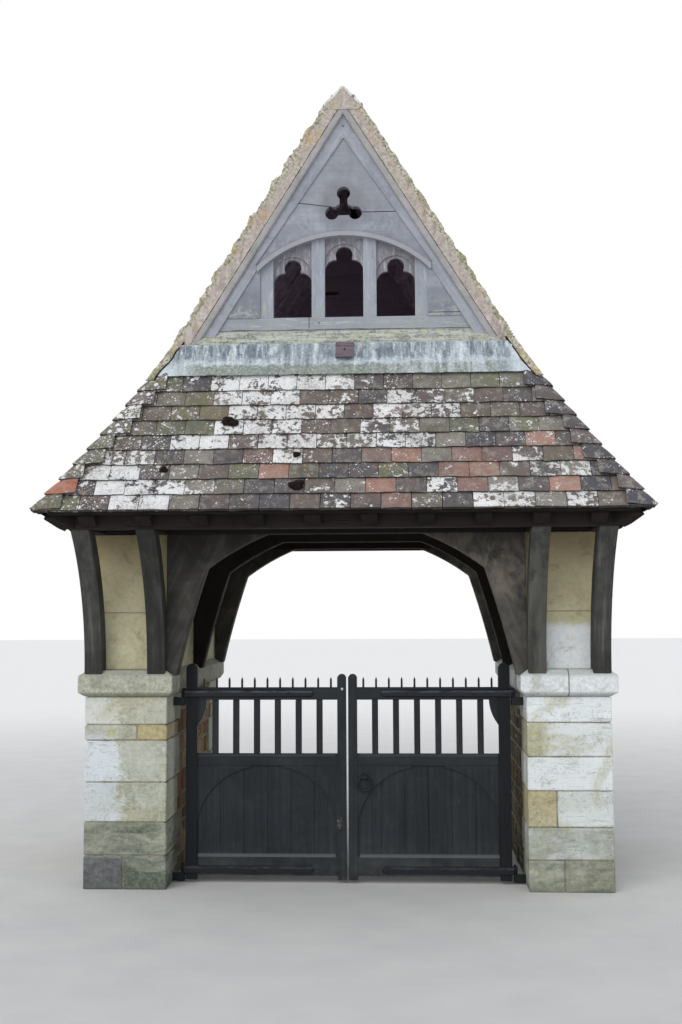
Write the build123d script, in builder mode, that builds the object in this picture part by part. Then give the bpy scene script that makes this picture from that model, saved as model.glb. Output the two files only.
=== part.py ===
from build123d import *
from math import cos, radians, sin, sqrt, tan
import os

os.makedirs("parts", exist_ok=True)

# A timber lychgate on two stone side walls, in millimetres.
# X runs across the passage, Y runs through it from front to rear, Z is up.
# The origin is on the ground in the middle of the passage.

# Side walls
passage_half_width = 1030.0
wall_width = 480.0
wall_length = 1980.0
string_underside = 1093.0
string_chamfer = 23.0
string_lip = 1.0
string_face_top = 1212.0
string_projection = 35.0
string_weathering = 30.0
upper_wall_inset = 10.0
upper_wall_setback = 100.0
quoin_length = 355.0
rubble_courses = 9
rubble_stones = 6
rubble_joint = 10.0
rubble_relief = 12.0
rubble_rise_wander = 14.0
rubble_end_wander = 30.0

# Eaves timbers
plate_underside = 2036.0
plate_height = 100.0
plate_width = 100.0
beam_reach = 390.0

# Curved brackets under the eaves beams
bracket_width = 105.0
bracket_depth = 100.0
bracket_foot_reach = 22.0
bracket_top_reach = 372.0

# Arch frames
frame_thickness = 100.0
frame_setback = 20.0
tie_drop = 6.0
tie_height = 170.0
knee_foot = 60.0
knee_reach = 590.0
knee_kink_reach = 234.0
knee_kink_drop = 200.0
knee_seat_gap = 0.3
knee_lower_bow = 8.0
knee_upper_bow = 14.0

# Roof form, taken on the top face of the tiles
eaves_rise = 99.0
side_overhang = 179.0
front_overhang = 541.0
side_angle = 58.0
hip_angle = 64.0
sweep_angle = 5.6
sweep_rise = 806.0
tile_bed = 75.0
swept_courses = 9
tile_gauge = 102.0
tile_step = 12.5
tile_drop = 2.0
tile_clearance = 60.0
rafter_width = 90.0
rafter_depth = 90.0
rafter_spacing = 310.0
rafter_tail = 60.0
front_rafter_head = 150.0
hip_rafter_width = 60.0
hip_rafter_depth = 110.0
hip_rafter_head = 250.0
ridge_beam_width = 40.0
ridge_beam_height = 150.0
ridge_tile_bed = 8.0
ridge_tile_wing = 120.0
ridge_tile_thickness = 20.0
bonnet_half_width = 95.0
bonnet_thickness = 22.0
lead_thickness = 5.0
block_width = 106.0
block_height = 95.0
block_thickness = 30.0
block_offset = 7.0
block_hole_radius = 6.0
block_hole_depth = 20.0

# Gablets, measured inwards from the verge
ledge_rise = 63.0
ledge_lip = 15.0
ledge_depth = 45.0
sill_band = 90.0
sill_depth = 115.0
gablet_wall_back = 120.0
outer_board = 40.0
outer_board_front = 8.0
inner_board = 57.0
inner_board_head = 74.5
inner_board_waist = 35.0
inner_board_front = 30.0
board_back = 50.0
board_roll = 12.0
waist_rise = 322.0
waist_step = 32.0
panel_front = 38.0
panel_thickness = 52.0
rib_projection = 18.0
rib_width = 28.0
tracery_front = 70.0
tracery_thickness = 40.0
mullion_front = 52.0
mullion_width = 78.0
head_rise = 198.0
head_margin = 198.0
head_clearance = 51.0
centre_light_rise = 76.0
light_springing = 214.0
foil_radius = 50.0
foil_stilt = 30.0
cusp_gap = 94.0
shoulder_flat = 3.0
light_recess_margin = 14.0
light_recess_depth = 10.0
trefoil_rise = 180.0
trefoil_radius = 40.0
trefoil_reach = 80.0
trefoil_arm = 48.0
trefoil_heart_width = 62.0
trefoil_heart_drop = 54.0
backing_thickness = 18.0

# Gates
gate_setback = 188.0
gate_thickness = 42.0
hinge_standoff = 62.0
leaf_side_gap = 16.0
leaf_gap = 12.0
hanging_stile = 67.0
meeting_stile = 52.0
stile_bottom = 20.0
hanging_stile_horn = 141.0
meeting_stile_horn = 78.0
jowl_width = 54.0
jowl_drop = 150.0
jowl_cusp_reach = 22.7
jowl_cusp_drop = 114.0
jowl_bow = 7.0
top_rail_top = 1132.0
top_rail_height = 72.0
middle_rail_top = 746.0
middle_rail_height = 69.0
bottom_rail_bottom = 45.0
bottom_rail_height = 121.0
rail_chamfer = 12.0
bar_count = 6
bar_width = 36.0
bar_depth = 26.0
board_setback = 12.0
board_thickness = 20.0
board_count = 6
board_groove = 2.0
spandrel_setback = 2.0
arch_flat = 190.0
arch_step = 10.0
arch_spring_rise = 84.0
spike_count = 11
spike_width = 12.0
spike_height = 62.0
spike_point = 18.0
strap_length = 745.0
strap_height = 46.0
strap_tip = 40.0
strap_thickness = 12.0
strap_chamfer = 5.0
upper_strap_drop = 34.0
lower_strap_rise = 35.0
crank_width = 11.0
crank_clearance = 2.0
pin_radius = 8.0
eye_clearance = 0.5
eye_wall = 6.0
pintle_arm = 20.0
pintle_depth = 48.0
pintle_gap = 0.5

# Ring handle on the right leaf
ring_inset = 42.0
ring_drop = 61.0
ring_radius = 40.0
ring_bar = 6.0
ring_standoff = 20.0
rose_radius = 22.0
rose_thickness = 6.0
spindle_radius = 6.5
spindle_clearance = 0.5
hub_radius = 11.0

# Derived places
front = wall_length / 2
wall_outer = passage_half_width + wall_width
upper_inner = passage_half_width + upper_wall_inset
upper_outer = wall_outer - upper_wall_inset
string_inner = passage_half_width - string_projection
string_top = string_face_top + string_weathering
tie_underside = plate_underside - tie_drop
eaves_height = plate_underside + eaves_rise
sweep_top = eaves_height + sweep_rise
eaves_x = wall_outer + side_overhang
eaves_y = front + front_overhang
rafter_underside = tile_bed + rafter_depth
gate_front = front - gate_setback
gate_middle = gate_front - gate_thickness / 2
gate_back = gate_front - gate_thickness
hinge_reach = passage_half_width - hinge_standoff
leaf_reach = hinge_reach - leaf_side_gap
bottom_rail_top = bottom_rail_bottom + bottom_rail_height
strap_levels = (top_rail_top - upper_strap_drop, bottom_rail_bottom + lower_strap_rise)

# Working values: how far cutting shapes run past the model, and how near an edge is picked
overrun = 600.0
pick = 1.0


def sweep_circle(tip, pitch):
    """Radius and centre of the arc that the tiles follow in the swept foot of a slope."""
    drop = sweep_top - eaves_height
    chord_pitch = radians(pitch - sweep_angle / 2)
    start = tip - drop / tan(chord_pitch)
    radius = drop / sin(chord_pitch) / (2 * sin(radians(sweep_angle / 2)))
    return radius, (start + radius * sin(radians(pitch)), sweep_top + radius * cos(radians(pitch)))


def slope_points(tip, pitch, depth):
    """Start, middle and tip of the swept foot of a roof slope, at a depth below its tiles.

    The slope is straight above the sweep top and an arc below it. The first number of
    each point is the distance out from the middle of the roof, the second the height."""
    radius, centre = sweep_circle(tip, pitch)
    points = []
    for angle in (pitch, pitch - sweep_angle / 2, pitch - sweep_angle):
        a = radians(angle)
        reach = radius + depth
        points.append((centre[0] - reach * sin(a), centre[1] - reach * cos(a)))
    return points


def slope_height(tip, pitch, depth, out):
    """Height of the straight part of a slope at a distance out from the middle."""
    start = slope_points(tip, pitch, depth)[0]
    return start[1] + (start[0] - out) * tan(radians(pitch))


def slope_out(tip, pitch, depth, height):
    """Distance out from the middle of the straight part of a slope at a height."""
    start = slope_points(tip, pitch, depth)[0]
    return start[0] - (height - start[1]) / tan(radians(pitch))


def flip(point, side):
    """The point on the right for side 1, and mirrored to the left for side -1."""
    return (side * point[0], point[1])


hip_top = slope_height(eaves_y, hip_angle, 0.0, front)
inner_wing = ridge_tile_wing - ridge_tile_thickness / sqrt(2)
ridge_seat = slope_height(eaves_x, side_angle, 0.0, inner_wing) - ridge_tile_bed + inner_wing
ridge_tile_apex = ridge_seat + ridge_tile_thickness * sqrt(2)
high = ridge_tile_apex + overrun
low = eaves_height - overrun


def slope_band(tip, pitch, upper, lower, side):
    """Section of a slope between two depths, from the middle of the roof to its eaves."""
    top = slope_points(tip, pitch, upper)
    bottom = slope_points(tip, pitch, lower)
    top_apex = (0.0, slope_height(tip, pitch, upper, 0.0))
    bottom_apex = (0.0, slope_height(tip, pitch, lower, 0.0))
    with BuildSketch() as band:
        with BuildLine():
            Line(top_apex, flip(top[0], side))
            ThreePointArc(flip(top[0], side), flip(top[1], side), flip(top[2], side))
            Line(flip(top[2], side), flip(bottom[2], side))
            ThreePointArc(flip(bottom[2], side), flip(bottom[1], side), flip(bottom[0], side))
            Line(flip(bottom[0], side), bottom_apex)
            Line(bottom_apex, top_apex)
        make_face()
    return band.sketch


def tile_point(tip, pitch, along, depth):
    """Point of a slope at a distance up its tiles from the eaves, and a depth below them."""
    radius, centre = sweep_circle(tip, pitch)
    arc = radius * radians(sweep_angle)
    a = radians(pitch - sweep_angle) + min(along, arc) / radius
    past = max(0.0, along - arc)
    reach = radius + depth
    return (centre[0] - reach * sin(a) - past * cos(a), centre[1] - reach * cos(a) + past * sin(a))


def course_tails(tip, pitch, height):
    """How far up a slope each course of tiles ends, from the eaves to below a height.

    The swept foot holds a fixed number of courses, and the slope above it goes on at the
    plain gauge. The first list is for the foot, the second for the rest."""
    arc = sweep_circle(tip, pitch)[0] * radians(sweep_angle)
    foot = [arc * course / swept_courses for course in range(swept_courses + 1)]
    top = arc + (height - sweep_top) / sin(radians(pitch))
    rest = [arc + tile_gauge * course for course in range(int((top - arc) / tile_gauge) + 1)]
    return foot, rest


def course_cut(tip, pitch, tails, side):
    """Section of what is taken off a slope so that each course of tiles ends in a step."""
    below = -tile_gauge if tails[0] == 0.0 else 0.0
    edge = [(tails[0] + below, tile_drop)] if below else []
    edge.append((tails[0], tile_drop))
    for tail in tails[1:]:
        edge += [(tail, tile_drop + tile_step), (tail, tile_drop)]
    edge[-1] = (tails[-1], -tile_clearance)
    edge.append((tails[0] + below, -tile_clearance))
    points = [flip(tile_point(tip, pitch, along, depth), side) for along, depth in edge]
    with BuildSketch() as cut:
        with BuildLine():
            Polyline(*points, points[0])
        make_face()
    return cut.sketch


def envelope_outline(tip, pitch, depth, shoulder):
    """All that lies under a pair of slopes at a depth, with upright faces at the shoulder."""
    start, middle, end = slope_points(tip, pitch, depth)
    crown = (shoulder, slope_height(tip, pitch, depth, shoulder))
    top = high if shoulder else crown[1]
    foot_slope = tan(radians(pitch - sweep_angle))
    foot = (end[0] - (end[1] - low) * foot_slope, low)
    with BuildSketch() as outline:
        with BuildLine():
            Polyline((0.0, low), foot, end)
            ThreePointArc(end, middle, start)
            Line(start, crown)
            if shoulder:
                Line(crown, (shoulder, top))
                Line((shoulder, top), (0.0, top))
            Line((0.0, top), (0.0, low))
        make_face()
        mirror(about=Plane.YZ)
    return outline.sketch


def side_envelope(depth):
    """Everything under the two side slopes at a depth below the tiles."""
    with BuildPart() as envelope:
        with BuildSketch(Plane.XZ):
            add(envelope_outline(eaves_x, side_angle, depth, 0.0))
        extrude(amount=2 * eaves_y, both=True)
    return envelope.part


def hip_envelope(depth, shoulder):
    """Everything under the front and rear hips at a depth below the tiles."""
    with BuildPart() as envelope:
        with BuildSketch(Plane.YZ):
            add(envelope_outline(eaves_y, hip_angle, depth, shoulder))
        extrude(amount=2 * eaves_x, both=True)
    return envelope.part


def hip_shoulder(depth):
    """Where a hip at a depth reaches the height of the hip's top."""
    return slope_out(eaves_y, hip_angle, depth, hip_top)


under_sides = side_envelope(0.0)
under_side_tiles = side_envelope(tile_bed)
under_hips = hip_envelope(0.0, front)
under_hip_tiles = hip_envelope(tile_bed, hip_shoulder(tile_bed))


def finish(piece, name):
    """Names a finished piece and writes it."""
    piece.part.label = name
    export_step(piece.part, f"parts/{name}.step")


def copy_to_rear(piece, name):
    """Writes the same piece at the rear end."""
    with BuildPart() as rear:
        mirror(piece.part, about=Plane.XZ)
    finish(rear, name)
    return rear


def copy_to_right(piece, name):
    """Writes the same piece on the right side."""
    with BuildPart() as right:
        mirror(piece.part, about=Plane.YZ)
    finish(right, name)
    return right


# Stone side walls: squared quoins at both ends, and rubble between them that stands out
# from its mortar
wall_middle = -(passage_half_width + wall_width / 2)
rubble_half = front - quoin_length


def rubble_joints(phase):
    """The mortar between the main stones of one rubble face, on a plane of Y and height."""
    levels = [string_underside * course / rubble_courses
              + (rubble_rise_wander * sin(2.4 * course + phase) if 0 < course < rubble_courses else 0.0)
              for course in range(rubble_courses + 1)]
    with BuildSketch() as joints:
        with Locations((0, string_underside / 2)):
            Rectangle(2 * rubble_half, string_underside)
        for course in range(rubble_courses):
            count = rubble_stones + course % 2
            ends = [rubble_half * (2 * stone / count - 1)
                    + (rubble_end_wander * sin(1.7 * course + 2.3 * stone + phase)
                       if 0 < stone < count else 0.0)
                    for stone in range(count + 1)]
            bottom = levels[course] + (rubble_joint / 2 if course else 0.0)
            top = levels[course + 1] - rubble_joint / 2
            for left, right in zip(ends, ends[1:]):
                with Locations(((left + right) / 2, (bottom + top) / 2)):
                    Rectangle(right - left - rubble_joint, top - bottom, mode=Mode.SUBTRACT)
    return joints.sketch


with BuildPart() as lower_wall:
    with BuildSketch():
        with Locations((wall_middle, 0)):
            Rectangle(wall_width, wall_length)
    extrude(amount=string_underside)
    for face, outwards in ((-passage_half_width, 1), (-wall_outer, -1)):
        with BuildSketch(Plane.YZ.offset(face)):
            add(rubble_joints(outwards))
        extrude(amount=-outwards * rubble_relief, mode=Mode.SUBTRACT)
finish(lower_wall, "lower_wall_left")
lower_wall_right = copy_to_right(lower_wall, "lower_wall_right")

# String course: chamfered below, weathered above
with BuildPart() as string_course:
    with BuildSketch(Plane.XY.offset(string_underside)):
        with Locations((wall_middle, 0)):
            Rectangle(wall_width + 2 * string_projection, wall_length + 2 * string_projection)
    extrude(amount=string_top - string_underside)
    top_edges = string_course.edges().group_by(Axis.Z)[-1]
    chamfer(top_edges, length=string_weathering, length2=string_projection + upper_wall_inset)
    bottom_edges = string_course.edges().group_by(Axis.Z)[0]
    chamfer(bottom_edges, length=string_chamfer, length2=string_projection - string_lip)
finish(string_course, "string_course_left")
string_course_right = copy_to_right(string_course, "string_course_right")

# Upper wall of smooth stone, set back at both ends behind the bracket feet
with BuildPart() as upper_wall:
    with BuildSketch(Plane.XY.offset(string_top)):
        with Locations((-(upper_inner + upper_outer) / 2, 0)):
            Rectangle(upper_outer - upper_inner, wall_length - 2 * upper_wall_setback)
    extrude(amount=plate_underside - string_top)
finish(upper_wall, "upper_wall_left")
upper_wall_right = copy_to_right(upper_wall, "upper_wall_right")

# Wall plates: two timbers on each wall, carried out to the eaves beams
plate_end = front + beam_reach - plate_width
with BuildPart() as wall_plates:
    with BuildSketch(Plane.XY.offset(plate_underside)):
        with Locations((-(wall_outer - plate_width / 2), 0), (-(upper_inner + plate_width / 2), 0)):
            Rectangle(plate_width, 2 * plate_end)
    extrude(amount=plate_height)
finish(wall_plates, "wall_plates_left")
wall_plates_right = copy_to_right(wall_plates, "wall_plates_right")

with BuildPart() as eaves_beam:
    with BuildSketch(Plane.XY.offset(plate_underside)):
        with Locations((0, -(plate_end + plate_width / 2))):
            Rectangle(2 * wall_outer, plate_width)
    extrude(amount=plate_height)
finish(eaves_beam, "eaves_beam_front")
eaves_beam_rear = copy_to_rear(eaves_beam, "eaves_beam_rear")

# Curved brackets, upright at the foot and leaning out to the beam
bracket_front = front + bracket_foot_reach
bracket_rise = plate_underside - string_top
bracket_lean = bracket_top_reach - bracket_foot_reach
bracket_radius = (bracket_rise ** 2 + bracket_lean ** 2) / (2 * bracket_lean)


def bracket_point(radius, height):
    """Point of a bracket edge, as distance out from the middle and height."""
    rise = height - string_top
    return (bracket_front + bracket_radius - sqrt(radius ** 2 - rise ** 2), height)


def weathering_height(out, nose):
    """Height of the string's weathered top at a distance past its nose."""
    return string_face_top + (nose - out) * string_weathering / (string_projection + upper_wall_inset)


middle_height = (string_top + plate_underside) / 2
back_radius = bracket_radius + bracket_depth
string_nose = front + string_projection
slope_end = string_nose - string_projection - upper_wall_inset
with BuildPart() as brackets:
    with BuildSketch(Plane.YZ) as bracket_side:
        with BuildLine():
            heel = (bracket_front, weathering_height(bracket_front, string_nose))
            ThreePointArc(bracket_point(bracket_radius, string_top),
                          bracket_point(bracket_radius, middle_height),
                          bracket_point(bracket_radius, plate_underside))
            Line(bracket_point(bracket_radius, plate_underside),
                 bracket_point(back_radius, plate_underside))
            ThreePointArc(bracket_point(back_radius, plate_underside),
                          bracket_point(back_radius, middle_height),
                          bracket_point(back_radius, string_top))
            Polyline(bracket_point(back_radius, string_top), (slope_end, string_top), heel,
                     bracket_point(bracket_radius, string_top))
        make_face()
        mirror(about=Plane.YZ, mode=Mode.REPLACE)
    extrude(amount=bracket_width)
bracket_solid = brackets.part

with BuildPart() as brackets_front:
    for place in (-wall_outer, -upper_inner - bracket_width,
                  upper_inner, wall_outer - bracket_width):
        with Locations((place, 0, 0)):
            add(bracket_solid)
finish(brackets_front, "brackets_front")
brackets_rear = copy_to_rear(brackets_front, "brackets_rear")

# Arch frames: a tie beam on a pair of solid curved knees
frame_places = {
    "front": -(front - frame_setback - frame_thickness / 2),
    "middle": 0.0,
    "rear": front - frame_setback - frame_thickness / 2,
}
knee_toe = upper_inner - knee_foot
knee_kink = (upper_inner - knee_kink_reach, tie_underside - knee_kink_drop)


def bowed(start, end, bow):
    """Middle of a shallow arc between two points, bowed out to the left of its way."""
    length = sqrt((end[0] - start[0]) ** 2 + (end[1] - start[1]) ** 2)
    return ((start[0] + end[0]) / 2 - bow * (end[1] - start[1]) / length,
            (start[1] + end[1]) / 2 + bow * (end[0] - start[0]) / length)


for place, y in frame_places.items():
    with BuildPart() as knees:
        with BuildSketch(Plane.XZ.offset(-y)):
            with BuildLine():
                toe = (knee_toe, string_face_top + knee_seat_gap)
                nose = (string_inner, string_face_top + knee_seat_gap)
                heel = (upper_inner, string_top + knee_seat_gap)
                crown = (upper_inner - knee_reach, tie_underside)
                Polyline(toe, nose, heel, (upper_inner, tie_underside), crown)
                ThreePointArc(crown, bowed(crown, knee_kink, knee_upper_bow), knee_kink)
                ThreePointArc(knee_kink, bowed(knee_kink, toe, knee_lower_bow), toe)
            make_face()
            mirror(about=Plane.YZ)
        extrude(amount=frame_thickness / 2, both=True)
    finish(knees, f"knees_{place}")
    with BuildPart() as tie_beam:
        with BuildSketch(Plane.XZ.offset(-y)):
            with Locations((0, tie_underside + tie_height / 2)):
                Rectangle(2 * (wall_outer - plate_width), tie_height)
            for side in (-1, 1):
                with Locations((side * (upper_inner + wall_width / 2), plate_underside)):
                    Rectangle(wall_width, 2 * tie_drop, mode=Mode.SUBTRACT)
                with Locations((side * (upper_inner + plate_width / 2),
                                plate_underside + plate_height / 2)):
                    Rectangle(plate_width, plate_height, mode=Mode.SUBTRACT)
        extrude(amount=frame_thickness / 2, both=True)
    finish(tie_beam, f"tie_beam_{place}")

# Roof slopes: tiles on boards. The side slopes run out to the hip lines and the
# hips fit between them. Their tops are trimmed to the underside of the ridge tiles.
seat_reach = 2 * ridge_tile_wing
with BuildPart() as above_ridge_seat:
    with BuildSketch(Plane.XZ):
        Polygon((-seat_reach, ridge_seat - seat_reach), (0, ridge_seat),
                (seat_reach, ridge_seat - seat_reach), (seat_reach, high), (-seat_reach, high),
                align=None)
    extrude(amount=2 * eaves_y, both=True)

corner_tip = (eaves_x, eaves_y)
corner_start = (slope_points(eaves_x, side_angle, 0.0)[0][0],
                slope_points(eaves_y, hip_angle, 0.0)[0][0])


def hip_strip(half_width, tip, start, head):
    """Plan of a strip along one hip line, from head inside its start to past its tip."""
    length = sqrt((tip[0] - start[0]) ** 2 + (tip[1] - start[1]) ** 2)
    along = ((tip[0] - start[0]) / length, (tip[1] - start[1]) / length)
    across = (-along[1] * half_width, along[0] * half_width)
    inner = (start[0] - along[0] * head, start[1] - along[1] * head)
    outer = (tip[0] + along[0] * overrun, tip[1] + along[1] * overrun)
    return [(end[0] + side * across[0], end[1] + side * across[1])
            for end, side in ((inner, 1), (outer, 1), (outer, -1), (inner, -1))]


with BuildPart() as under_bonnets:
    with BuildSketch(Plane.XY.offset(low)):
        Polygon(*hip_strip(bonnet_half_width, corner_tip, corner_start, overrun), align=None)
        mirror(about=Plane.YZ)
        mirror(about=Plane.XZ)
    extrude(amount=high - low)

side_foot, side_rest = course_tails(
    eaves_x, side_angle, slope_height(eaves_x, side_angle, 0.0, ridge_tile_wing))
hip_foot = course_tails(eaves_y, hip_angle, hip_top)[0]
with BuildPart() as side_steps:
    with BuildSketch(Plane.XZ):
        add(course_cut(eaves_x, side_angle, side_foot, -1))
    extrude(amount=2 * eaves_y, both=True)
    add(under_bonnets.part, mode=Mode.SUBTRACT)
with BuildPart() as upper_steps:
    with BuildSketch(Plane.XZ):
        add(course_cut(eaves_x, side_angle, side_rest, -1))
    extrude(amount=front, both=True)
with BuildPart() as hip_steps:
    with BuildSketch(Plane.YZ):
        add(course_cut(eaves_y, hip_angle, hip_foot, -1))
    extrude(amount=2 * eaves_x, both=True)
    add(under_bonnets.part, mode=Mode.SUBTRACT)

with BuildPart() as roof_slope:
    with BuildSketch(Plane.XZ):
        add(slope_band(eaves_x, side_angle, 0.0, tile_bed, -1))
    extrude(amount=2 * eaves_y, both=True)
    add(under_hips, mode=Mode.INTERSECT)
    add(above_ridge_seat.part, mode=Mode.SUBTRACT)
    add(side_steps.part, mode=Mode.SUBTRACT)
    add(upper_steps.part, mode=Mode.SUBTRACT)
finish(roof_slope, "roof_slope_left")
roof_slope_right = copy_to_right(roof_slope, "roof_slope_right")

with BuildPart() as roof_hip:
    with BuildSketch(Plane.YZ):
        add(slope_band(eaves_y, hip_angle, 0.0, tile_bed, -1))
    extrude(amount=2 * eaves_x, both=True)
    add(under_side_tiles, mode=Mode.INTERSECT)
    split(bisect_by=Plane.XY.offset(hip_top), keep=Keep.BOTTOM)
    add(hip_steps.part, mode=Mode.SUBTRACT)
finish(roof_hip, "roof_hip_front")
roof_hip_rear = copy_to_rear(roof_hip, "roof_hip_rear")

# Ridge tiles: a right-angled course along the whole ridge
with BuildPart() as ridge_tiles:
    with BuildSketch(Plane.XZ):
        with BuildLine():
            Polyline((0, ridge_tile_apex), (ridge_tile_wing, ridge_tile_apex - ridge_tile_wing),
                     (inner_wing, ridge_seat - inner_wing), (0, ridge_seat), (0, ridge_tile_apex))
        make_face()
        mirror(about=Plane.YZ)
    extrude(amount=front, both=True)
finish(ridge_tiles, "ridge_tiles")

# Bonnet tiles on the four hips, as a cap that follows both slopes
with BuildPart() as tiled_volume:
    add(under_sides)
    add(under_hips, mode=Mode.INTERSECT)

with BuildPart() as hip_bonnets:
    with BuildSketch(Plane.XY.offset(eaves_height)):
        Polygon(*hip_strip(bonnet_half_width, corner_tip, corner_start, overrun), align=None)
        mirror(about=Plane.YZ)
        mirror(about=Plane.XZ)
    extrude(amount=sweep_top - eaves_height)
    add(side_envelope(-bonnet_thickness), mode=Mode.INTERSECT)
    add(hip_envelope(-bonnet_thickness, front), mode=Mode.INTERSECT)
    with BuildSketch(Plane.XY.offset(eaves_height)):
        Rectangle(2 * eaves_x, 2 * eaves_y)
    extrude(amount=sweep_top - eaves_height, mode=Mode.INTERSECT)
    add(tiled_volume.part, mode=Mode.SUBTRACT)
finish(hip_bonnets, "hip_bonnets")

# Lead apron over the head of each hip
with BuildPart() as lead_apron:
    with BuildSketch(Plane.YZ):
        add(slope_band(eaves_y, hip_angle, -lead_thickness, 0.0, -1))
    extrude(amount=2 * eaves_x, both=True)
    add(under_sides, mode=Mode.INTERSECT)
    split(bisect_by=Plane.XY.offset(sweep_top), keep=Keep.TOP)
    split(bisect_by=Plane.XY.offset(hip_top), keep=Keep.BOTTOM)
finish(lead_apron, "lead_apron_front")
lead_apron_rear = copy_to_rear(lead_apron, "lead_apron_rear")

# Block on the head of the front apron, bored in the middle
block_outer = -(lead_thickness + block_thickness)
bore_middle = hip_top - block_height / 2
bore_front = slope_out(eaves_y, hip_angle, block_outer, bore_middle)
with BuildPart() as apron_block:
    with BuildSketch(Plane.YZ.offset(block_offset)):
        add(slope_band(eaves_y, hip_angle, block_outer, -lead_thickness, -1))
    extrude(amount=block_width / 2, both=True)
    split(bisect_by=Plane.XY.offset(hip_top - block_height), keep=Keep.TOP)
    split(bisect_by=Plane.XY.offset(hip_top), keep=Keep.BOTTOM)
    with BuildSketch(Plane.XZ.offset(bore_front - block_hole_depth)):
        with Locations((block_offset, bore_middle)):
            Circle(block_hole_radius)
    extrude(amount=overrun, mode=Mode.SUBTRACT)
finish(apron_block, "apron_block")

# Ridge beam
ridge_beam_top = slope_height(eaves_x, side_angle, tile_bed, ridge_beam_width / 2)
with BuildPart() as ridge_beam:
    with BuildSketch(Plane.XY.offset(ridge_beam_top - ridge_beam_height)):
        Rectangle(ridge_beam_width, 2 * (front - panel_front - panel_thickness))
    extrude(amount=ridge_beam_height)
finish(ridge_beam, "ridge_beam")

# Rafters: strips of the roof's plan, lifted into the space under the tile boards and
# notched over the plates and beams
inner_tip = (slope_points(eaves_x, side_angle, tile_bed)[2][0],
             slope_points(eaves_y, hip_angle, tile_bed)[2][0])
inner_start = (slope_points(eaves_x, side_angle, tile_bed)[0][0],
               slope_points(eaves_y, hip_angle, tile_bed)[0][0])
sill_underside = hip_top - sill_depth
hip_run = (inner_tip[0] - inner_start[0]) / (inner_tip[1] - inner_start[1])
head_y = front - front_rafter_head
head_x = inner_tip[0] - hip_run * (inner_tip[1] - head_y)
tail_x = inner_tip[0] + hip_run * overrun
tail_y = inner_tip[1] + overrun

with BuildSketch() as front_plan:
    Polygon((-tail_x, -tail_y), (tail_x, -tail_y), (head_x, -head_y), (-head_x, -head_y),
            align=None)
with BuildSketch() as hip_plan:
    Polygon(*hip_strip(hip_rafter_width / 2, inner_tip, inner_start, hip_rafter_head),
            align=None)
    mirror(about=Plane.YZ)
    mirror(about=Plane.XZ)

with BuildPart() as plates_and_beams:
    for timber in (wall_plates, wall_plates_right, eaves_beam, eaves_beam_rear):
        add(timber.part)


def rafter_set(plan, hollow):
    """Timbers with a given plan, between the tile boards and the hollow below them."""
    with BuildPart() as rafters:
        with BuildSketch(Plane.XY.offset(low)):
            add(plan)
        extrude(amount=high - low)
        add(under_side_tiles, mode=Mode.INTERSECT)
        add(under_hip_tiles, mode=Mode.INTERSECT)
        add(hollow, mode=Mode.SUBTRACT)
        with BuildSketch(Plane.XY.offset(low)):
            Rectangle(2 * (eaves_x - rafter_tail), 2 * (eaves_y - rafter_tail))
        extrude(amount=high - low, mode=Mode.INTERSECT)
        add(plates_and_beams.part, mode=Mode.SUBTRACT)
    return rafters.part


side_pairs = 4
with BuildSketch() as side_rafter_plan:
    with Locations((-eaves_x / 2, 0)):
        with GridLocations(1, rafter_spacing, 1, 2 * side_pairs):
            Rectangle(eaves_x - ridge_beam_width, rafter_width)
    add(front_plan.sketch, mode=Mode.SUBTRACT)
    add(front_plan.sketch.mirror(Plane.XZ), mode=Mode.SUBTRACT)
    add(hip_plan.sketch, mode=Mode.SUBTRACT)
with BuildPart() as rafters_left:
    add(rafter_set(side_rafter_plan.sketch, side_envelope(rafter_underside)))
finish(rafters_left, "rafters_left")
rafters_right = copy_to_right(rafters_left, "rafters_right")

front_pairs = 5
with BuildSketch() as front_rafter_plan:
    with Locations((0, -eaves_y + front_overhang)):
        with GridLocations(rafter_spacing, 1, 2 * front_pairs, 1):
            Rectangle(rafter_width, 2 * front_overhang)
    add(front_plan.sketch, mode=Mode.INTERSECT)
    add(hip_plan.sketch, mode=Mode.SUBTRACT)

with BuildPart() as rafters_front:
    add(rafter_set(front_rafter_plan.sketch,
                   hip_envelope(rafter_underside, hip_shoulder(rafter_underside))))
    split(bisect_by=Plane.XY.offset(sill_underside), keep=Keep.BOTTOM)
finish(rafters_front, "rafters_front")
rafters_rear = copy_to_rear(rafters_front, "rafters_rear")

hip_rafter_underside = tile_bed + hip_rafter_depth
with BuildPart() as under_hip_rafters:
    add(side_envelope(hip_rafter_underside))
    add(hip_envelope(hip_rafter_underside, hip_shoulder(hip_rafter_underside)), mode=Mode.INTERSECT)

with BuildPart() as hip_rafters:
    add(rafter_set(hip_plan.sketch, under_hip_rafters.part))
    split(bisect_by=Plane.XY.offset(sill_underside), keep=Keep.BOTTOM)
finish(hip_rafters, "hip_rafters")

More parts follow.
